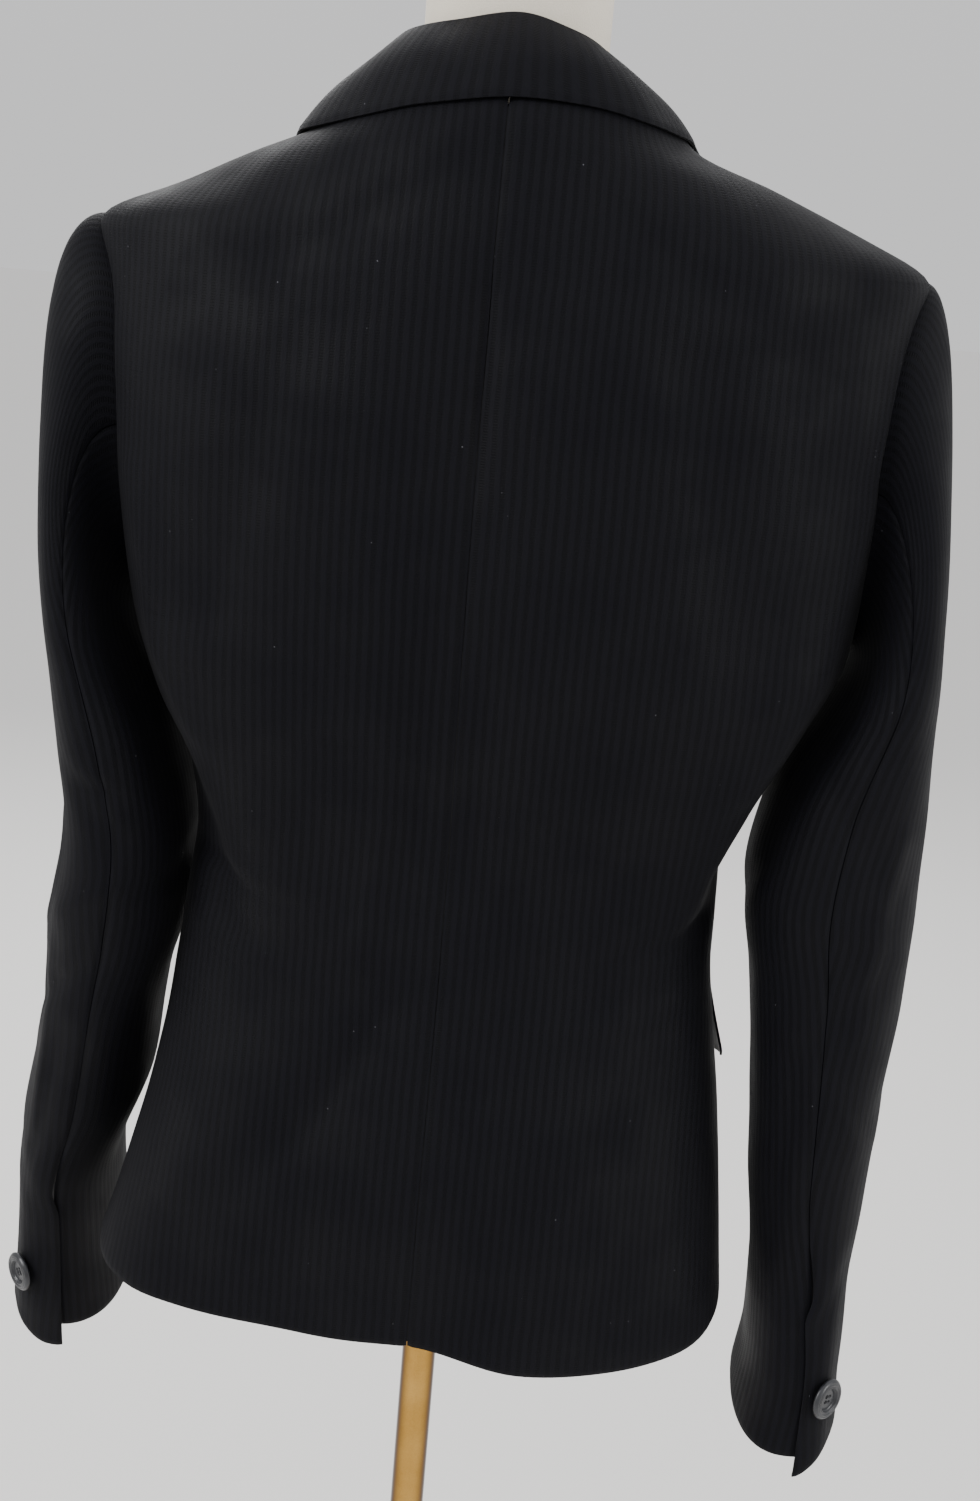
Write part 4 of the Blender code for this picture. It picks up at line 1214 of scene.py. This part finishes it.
@dataclass
class Flaps:
    """The pocket flaps on the fronts, their rear corners standing off a little."""

    top: float = 0.985
    depth: float = 0.045
    start: float = 98.0
    end: float = 146.0
    flare: float = 0.0035
    corner: float = 0.004
    slant: float = 0.006
    lie: float = 0.0020
    columns: int = 40
    rows: int = 22

    def build(self, palette: Palette) -> None:
        """Make both flaps."""
        share = edged(self.columns, 0.10)[None, :]
        drop = edged(self.rows, 0.045)[:, None]
        bend = self.corner * (blend(0.85, 1.0, share) + blend(0.85, 1.0, 1 - share)) * drop
        height = self.top - self.depth * drop + bend + self.slant * share
        lift = self.lie + self.flare * drop * (1 - share) + 0.0008 * drop
        ends = turned_in(share * 0.10, 0.0006) + turned_in((1 - share) * 0.10, 0.0006)
        lift = lift + ends + turned_in((1 - drop) * 0.045, 0.0006)
        for side in Side:
            angle = side.value * (self.start + (self.end - self.start) * share)
            points = TRUNK.lifted(np.broadcast_to(angle, height.shape), height, lift)
            node = f"pocket_flap_{side.word}"
            rests = (f"front_{side.word}_cloth",)
            along = np.broadcast_to(height, points.shape[:2])
            inside = Vector((0, 0, 0.96))
            ClothShell(node, points, arc(points, 1), along, inside, "hung", rests).build(palette)


def turned_points(outline: Outline, steps: int) -> Array:
    """Rings of points for an outline of radius and height, turned round the upright axis."""
    turns = np.radians(360 * np.arange(steps) / steps)[None, :]
    radius, height = (np.array(column)[:, None] for column in zip(*outline))
    return np.stack([radius * np.cos(turns), radius * np.sin(turns), height + 0 * turns], -1)


def rounded(outline: Outline, radius: float, steps: int = 5) -> list[tuple[float, float]]:
    """An outline with its inner corners rounded.

    Args:
        outline: Points of radius and height.
        radius: How far from a corner the rounding starts, at most.
        steps: Points on each rounded corner.

    Returns:
        The finer outline.
    """
    made = [outline[0]]
    for before, here, after in zip(outline, outline[1:], outline[2:]):
        before, here, after = (np.array(p, float) for p in (before, here, after))
        back, ahead = before - here, after - here
        cut = min(radius, 0.45 * np.linalg.norm(back), 0.45 * np.linalg.norm(ahead))
        start, end = here + cut * unit(back), here + cut * unit(ahead)
        for k in range(steps + 1):
            t = k / steps
            made.append(tuple(start * (1 - t) ** 2 + here * 2 * t * (1 - t) + end * t * t))
    return [*made, outline[-1]]


@dataclass
class Button:
    """A sewn button: a stepped rim of turned rings round a sunk middle with four holes."""

    node: str
    inside: tuple[float, float, float]
    outline: tuple[tuple[float, float], ...] = (
        (0.40, 0.56), (0.50, 0.53), (0.545, 0.40), (0.58, 0.78), (0.62, 0.94), (0.66, 0.93),
        (0.685, 0.86), (0.71, 0.93), (0.75, 1.00), (0.79, 0.99), (0.815, 0.90), (0.84, 0.95), (0.88, 0.93),
        (0.93, 0.80), (0.98, 0.62), (1.00, 0.48), (0.985, 0.30), (0.92, 0.12), (0.60, 0.02),
    )
    hole_at: float = 0.185
    hole_radius: float = 0.080
    hole_depth: float = 0.42
    steps: int = 96

    def place(self) -> tuple[Matrix, float, float]:
        """The button's seat, radius and height, read from its solid."""
        corners = np.array([v.co[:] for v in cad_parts[self.node].data.vertices])
        middle = (corners.min(0) + corners.max(0)) / 2
        axes = np.linalg.svd(corners - corners.mean(0), full_matrices=False)[2]
        normal = axes[2] if axes[2] @ (middle - np.array(self.inside)) > 0 else -axes[2]
        side = axes[0]
        other = np.cross(normal, side)
        spread = [(corners @ axis).min() + (corners @ axis).max() for axis in (side, other)]
        low, high = (corners @ normal).min(), (corners @ normal).max()
        seat = side * spread[0] / 2 + other * spread[1] / 2 + normal * low
        radius = float(((corners @ side).max() - (corners @ side).min()) / 2)
        turn = Matrix((side, other, normal)).transposed().to_4x4()
        return Matrix.Translation(Vector(seat)) @ turn, radius, float(high - low)

    def build(self, palette: Palette) -> None:
        """Make the button and the thread through its holes."""
        seat, radius, height = self.place()
        inner = [(r, 0.57 - 0.03 * (r / 0.4) ** 2) for r in np.linspace(0.004, 0.385, 34)]
        outline = inner + list(self.outline) + [(0.004, 0.02)]
        points = turned_points([(r * radius, z * height) for r, z in outline], self.steps)
        for turn in (45, 135, 225, 315):
            x = self.hole_at * radius * math.cos(math.radians(turn))
            y = self.hole_at * radius * math.sin(math.radians(turn))
            away = np.hypot(points[: len(inner), :, 0] - x, points[: len(inner), :, 1] - y)
            edge = self.hole_radius * radius
            sink = self.hole_depth * height * (1 - blend(0.8 * edge, 1.15 * edge, away))
            points[: len(inner), :, 2] -= sink
        flat = points.reshape(-1, 3)
        moved = flat @ np.array(seat.to_3x3()).T + np.array(seat.translation)
        faces = grid_faces(len(outline), self.steps, closed=True)
        piece = add_piece(f"{self.node}_turned", moved, faces[:, ::-1], (palette.plastic,))
        close_ends(piece)
        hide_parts(self.node)
        self.sew(seat, radius, height, palette)
        LOG.info("%s", piece.name)

    def sew(self, seat: Matrix, radius: float, height: float, palette: Palette) -> None:
        """Two pairs of threads across the middle, each from one hole to the next."""
        reach = self.hole_at * radius * math.sqrt(0.5)
        paths = []
        for y in (-reach, reach):
            for offset in (-0.022 * radius, 0.022 * radius):
                ends = np.linspace(-1.15, 1.15, 9)
                rise = height * (0.62 - 0.30 * ends**4)
                paths.append(np.stack([ends * reach, y + offset + 0 * ends, rise], -1))
        tubes = [tube(path, 0.026 * radius, 8) for path in paths]
        points = np.concatenate([points for points, _ in tubes])
        starts = np.cumsum([0] + [len(points) for points, _ in tubes[:-1]])
        faces = np.concatenate([faces + start for (_, faces), start in zip(tubes, starts)])
        moved = points @ np.array(seat.to_3x3()).T + np.array(seat.translation)
        piece = add_piece(f"{self.node}_thread", moved, faces, (palette.thread,))
        close_ends(piece)


def tube(path: Array, radius: float, sides: int) -> tuple[Array, Array]:
    """Points and faces of a round tube along a path that runs mostly along X."""
    turns = np.radians(360 * np.arange(sides) / sides)
    ring = np.stack([0 * turns, np.cos(turns), np.sin(turns)], -1) * radius
    points = path[:, None, :] + ring[None, :, :]
    return points.reshape(-1, 3), grid_faces(len(path), sides, closed=True)


def close_ends(piece: bpy.types.Object) -> None:
    """Fill the open rings at a turned piece's ends and point its faces outwards."""
    shape = bmesh.new()
    shape.from_mesh(piece.data)
    bmesh.ops.holes_fill(shape, edges=[edge for edge in shape.edges if edge.is_boundary], sides=0)
    bmesh.ops.recalc_face_normals(shape, faces=shape.faces)
    shape.to_mesh(piece.data)
    shape.free()
    piece.data.shade_smooth()


@dataclass
class DressForm:
    """The limbless form inside the blazer, its neck, its pole and its round foot."""

    foot: float = 0.885
    ease: float = 0.0110
    seat: float = 0.0024
    neck_radius: float = 0.0440
    neck_x: float = 0.0040
    neck_top: float = 1.520
    pole_radius: float = 0.0095
    socket_radius: float = 0.017
    socket_height: float = 0.014
    base_radius: float = 0.140
    base_thick: float = 0.014
    base_dome: float = 0.030
    gap: float = 0.0003
    steps: int = 144

    def body_rings(self) -> Array:
        """Rings of the form from its foot to the top of its shoulders."""
        top = TRUNK.nape - 0.012
        low = np.linspace(self.foot, TRUNK.shoulder, 70, endpoint=False)
        heights = np.concatenate([low, np.linspace(TRUNK.shoulder, top, 22)])[:, None]
        angle = (360 * np.arange(self.steps) / self.steps)[None, :]
        angle, height = np.broadcast_arrays(angle, heights)
        side = blend(0.86, 0.97, np.abs(np.sin(np.radians(angle))))
        inset = self.ease + (self.seat - self.ease) * side * blend(1.372, 1.385, height)
        out = TRUNK.normal(angle, height, folded=False)
        points = TRUNK.point(angle, height, folded=False) - out * (inset + 0.0004)[..., None]
        points[..., 2] = np.maximum(points[..., 2], self.foot)
        return points

    def neck_rings(self) -> Array:
        """Rings of the neck, with a soft foot and a rounded top."""
        rim = self.neck_radius
        nape, top, curve = TRUNK.nape, self.neck_top, 0.007
        outline = [(rim + 0.006, nape - 0.003), (rim + 0.0015, nape + 0.001), (rim, nape + 0.008)]
        outline += [(rim, height) for height in np.linspace(nape + 0.020, top - 0.008, 9)]
        bends = np.radians(np.linspace(0, 90, 9))
        outline += [(rim - curve * (1 - math.cos(b)), top - curve * (1 - math.sin(b))) for b in bends]
        outline += [(rim * share, top) for share in (0.6, 0.3, 0.02)]
        turns = np.radians(360 * np.arange(self.steps) / self.steps)[None, :]
        radius, height = (np.array(column)[:, None] for column in zip(*outline))
        x, y = self.neck_x + radius * np.sin(turns), radius * np.cos(turns)
        return np.stack([x, y, height + 0 * turns], -1)

    def build(self, palette: Palette) -> None:
        """Make the form, the pole and the foot."""
        rings = np.concatenate([self.body_rings(), self.neck_rings()])
        faces = grid_faces(len(rings), self.steps, closed=True)
        form = add_piece("form_jersey_body", rings, faces, (palette.jersey,))
        close_ends(form)
        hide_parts("form_body")
        top = self.base_thick + self.base_dome
        wide, thick, socket, rod = self.base_radius, self.base_thick, self.socket_radius, self.pole_radius
        foot = rounded((
            (0.0004, top), (socket, top), (socket, top - self.socket_height),
            (0.45 * wide, thick + 0.007), (0.85 * wide, thick + 0.001),
            (wide - 0.003, thick - 0.002), (wide, thick - 0.006), (wide, 0.0), (0.0004, 0.0),
        ), 0.0035)
        high, low = self.foot - self.gap, top + self.gap
        pole = rounded(((0.0004, high), (rod, high), (rod, low), (0.0004, low)), 0.0008)
        for node, outline, steps in (("form_base", foot, 160), ("form_pole", pole, 72)):
            points = turned_points(outline, steps)
            faces = grid_faces(len(outline), steps, closed=True)
            piece = add_piece(f"{node}_polished", points, faces, (palette.gold,))
            close_ends(piece)
            piece.data.set_sharp_from_angle(angle=math.radians(50))
            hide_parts(node)
        LOG.info("dress form and stand")


@dataclass
class Buttonholes:
    """Worked buttonholes in the overlapping front, each a ring of stitches made with Geometry Nodes."""

    heights: tuple[float, ...] = (1.075, 0.985)
    length: float = 0.024
    width: float = 0.0024
    inner: float = 0.0035
    pitch: float = 0.00045
    stitch: float = 0.0015
    thread: float = 0.00022
    lift: float = 0.0001

    def tree(self, material: bpy.types.Material) -> bpy.types.NodeTree:
        """The tree that lays short threads across a path."""
        tree = bpy.data.node_groups.new("buttonhole_stitches", "GeometryNodeTree")
        sockets = (("Geometry", "Geometry"), ("Pitch", "Float"), ("Stitch", "Float"), ("Thread", "Float"))
        for name, kind in sockets:
            tree.interface.new_socket(name, in_out="INPUT", socket_type=f"NodeSocket{kind}")
        tree.interface.new_socket("Geometry", in_out="OUTPUT", socket_type="NodeSocketGeometry")
        graph = Graph(tree)
        given = tree.nodes.new("NodeGroupInput")
        curve = graph.add("GeometryNodeMeshToCurve", {0: given.outputs["Geometry"]})
        spaced = graph.add("GeometryNodeResampleCurve", {"Curve": curve.outputs[0]}, mode="LENGTH")
        graph.put(given.outputs["Pitch"], spaced.inputs["Length"])
        rod = graph.add("GeometryNodeMeshCylinder", {"Vertices": 6, "Radius": 1.0, "Depth": 1.0})
        tangent = graph.add("GeometryNodeInputTangent")
        normal = graph.add("GeometryNodeInputNormal")
        across = graph.add("ShaderNodeVectorMath", {0: tangent.outputs[0], 1: normal.outputs[0]},
                           operation="CROSS_PRODUCT")
        turn = graph.add("FunctionNodeAlignRotationToVector", {"Vector": across.outputs[0]}, axis="Z")
        shake = graph.add("FunctionNodeRandomValue", {2: 0.85, 3: 1.10, "Seed": 3}, data_type="FLOAT")
        length = graph.math("MULTIPLY", given.outputs["Stitch"], shake.outputs[1])
        thread = given.outputs["Thread"]
        scale = graph.add("ShaderNodeCombineXYZ", {0: thread, 1: thread, 2: length})
        laid = graph.add("GeometryNodeInstanceOnPoints", {
            "Points": spaced.outputs[0], "Instance": rod.outputs["Mesh"],
            "Rotation": turn.outputs[0], "Scale": scale.outputs[0],
        })
        real = graph.add("GeometryNodeRealizeInstances", {0: laid.outputs[0]})
        dressed = graph.add("GeometryNodeSetMaterial", {"Geometry": real.outputs[0], "Material": material})
        result = tree.nodes.new("NodeGroupOutput")
        graph.put(dressed.outputs[0], result.inputs[0])
        return tree

    def path(self, height: float) -> Array:
        """The middle line of one buttonhole's ring of stitches, on the overlapping front."""
        half, end = self.length / 2, self.width / 2
        turns = np.radians(np.linspace(0, 360, 64, endpoint=False))
        x = self.inner - half + np.clip(half * np.cos(turns) * 1.3, -half, half)
        z = height + end * np.clip(np.sin(turns) * 1.6, -1, 1)
        bare = TRUNK.front_angle(x, z)
        rise = FRONTS.overlap_rise(Side.RIGHT, 360 - bare, z) + self.lift
        return TRUNK.lifted(bare, z, rise)

    def build(self, palette: Palette) -> None:
        """Lay the stitches and turn them into plain meshes."""
        tree = self.tree(palette.thread)
        for number, height in enumerate(self.heights, start=1):
            points = self.path(height)
            name = f"front_buttonhole_{number}"
            mesh = bpy.data.meshes.new(name)
            count = len(points)
            mesh.from_pydata(points.tolist(), [(k, (k + 1) % count) for k in range(count)], [])
            guide = bpy.data.objects.new(name + "_path", mesh)
            bpy.context.scene.collection.objects.link(guide)
            maker = guide.modifiers.new("Stitches", "NODES")
            maker.node_group = tree
            values = {"Pitch": self.pitch, "Stitch": self.stitch, "Thread": self.thread}
            for item in tree.interface.items_tree:
                if item.in_out == "INPUT" and item.name in values:
                    maker[item.identifier] = values[item.name]
            graph = bpy.context.evaluated_depsgraph_get()
            made = bpy.data.meshes.new_from_object(guide.evaluated_get(graph))
            made.name = name
            piece = bpy.data.objects.new(name, made)
            bpy.context.scene.collection.objects.link(piece)
            bpy.data.objects.remove(guide, do_unlink=True)
            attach(piece, ROOT)
            LOG.info("%s: %d faces", name, len(made.polygons))


@dataclass
class Studio:
    """The pale floor, the soft lights and the camera at the photograph's angle."""

    camera_at: tuple[float, float, float] = (-0.056, 0.949, 1.377)
    pitch: float = 15.6
    pan: float = 2.68
    roll: float = 4.85
    focal_pixels: float = 1893.0
    picture_height: float = 1501.0
    floor_colour: tuple[float, ...] = (0.72, 0.71, 0.69, 1)
    horizon: tuple[float, ...] = (0.70, 0.70, 0.705, 1)
    zenith: tuple[float, ...] = (0.98, 0.98, 1.0, 1)
    sky_strength: float = 1.15

    def camera(self) -> None:
        """Place the camera, turned by its pan, pitch and roll."""
        pan, down, roll = (math.radians(a) for a in (self.pan, self.pitch, self.roll))
        ahead = Vector((math.sin(pan) * math.cos(down), -math.cos(pan) * math.cos(down), -math.sin(down)))
        right = ahead.cross(Vector((0, 0, 1))).normalized()
        up = right.cross(ahead)
        side = right * math.cos(roll) + up * math.sin(roll)
        top = up * math.cos(roll) - right * math.sin(roll)
        data = bpy.data.cameras.new("camera")
        data.sensor_width = 36.0
        data.lens = self.focal_pixels / self.picture_height * data.sensor_width
        camera = bpy.data.objects.new("camera", data)
        turn = Matrix((side, top, -ahead)).transposed().to_4x4()
        camera.matrix_world = Matrix.Translation(self.camera_at) @ turn
        bpy.context.scene.collection.objects.link(camera)
        bpy.context.scene.camera = camera

    def light(self, name: str, at: Sequence[float], aim: Sequence[float], size: float, power: float,
              colour: Sequence[float] = (1, 1, 1)) -> None:
        """Add a square soft light.

        Args:
            name: Its name.
            at: Where it is.
            aim: The point that it faces.
            size: Its side in metres.
            power: Its power in watts.
            colour: Its colour.
        """
        data = bpy.data.lights.new(name, "AREA")
        data.size = size
        data.energy = power
        data.color = colour
        lamp = bpy.data.objects.new(name, data)
        lamp.location = at
        lamp.rotation_euler = (Vector(aim) - Vector(at)).to_track_quat("-Z", "Y").to_euler()
        bpy.context.scene.collection.objects.link(lamp)

    def build(self) -> None:
        """Make the floor, the sky, the lights and the camera."""
        mesh = bpy.data.meshes.new("floor")
        reach = 30.0
        mesh.from_pydata([(-reach, -reach, 0), (reach, -reach, 0), (reach, reach, 0), (-reach, reach, 0)], [],
                         [(0, 1, 2, 3)])
        material, _, shader = start_material("pale_floor")
        shader.inputs["Base Color"].default_value = self.floor_colour
        shader.inputs["Roughness"].default_value = 0.8
        mesh.materials.append(material)
        floor = bpy.data.objects.new("floor", mesh)
        floor.location.z = -0.001
        bpy.context.scene.collection.objects.link(floor)
        world = bpy.data.worlds.new("soft_sky")
        world.use_nodes = True
        sky = world.node_tree.nodes["Background"]
        graph = Graph(world.node_tree)
        way = graph.add("ShaderNodeTexCoord").outputs["Generated"]
        rise = graph.add("ShaderNodeSeparateXYZ", {0: way}).outputs["Z"]
        graph.put(graph.mix(graph.ramp(rise, 0.0, 0.9), self.horizon, self.zenith), sky.inputs["Color"])
        sky.inputs["Strength"].default_value = self.sky_strength
        bpy.context.scene.world = world
        self.light("key", (2.3, 1.5, 2.6), (0, 0, 1.1), 1.3, 80)
        self.light("fill", (-2.6, 1.2, 1.9), (0, 0, 1.1), 1.5, 50)
        self.light("front", (0.6, -2.8, 2.6), (0, 0, 1.1), 2.0, 70)
        self.camera()


def main() -> None:
    """Build every piece in order."""
    logging.basicConfig(level=logging.INFO, format="%(name)s: %(message)s")
    palette = Palette()
    Studio().build()
    DressForm().build(palette)
    Backs().build(palette)
    FRONTS.build(palette)
    LAPELS.build(palette)
    Collar().build(palette)
    Sleeves().build(palette)
    Flaps().build(palette)
    Buttonholes().build(palette)
    for node, inside in (
        ("front_button_1", (0, 0, 1.075)),
        ("front_button_2", (0, 0, 0.985)),
        ("cuff_button_left", (0.2115, -0.040, 0.790)),
        ("cuff_button_right", (-0.2035, 0.022, 0.800)),
    ):
        Button(node, inside).build(palette)


if __name__ == "__main__":
    main()
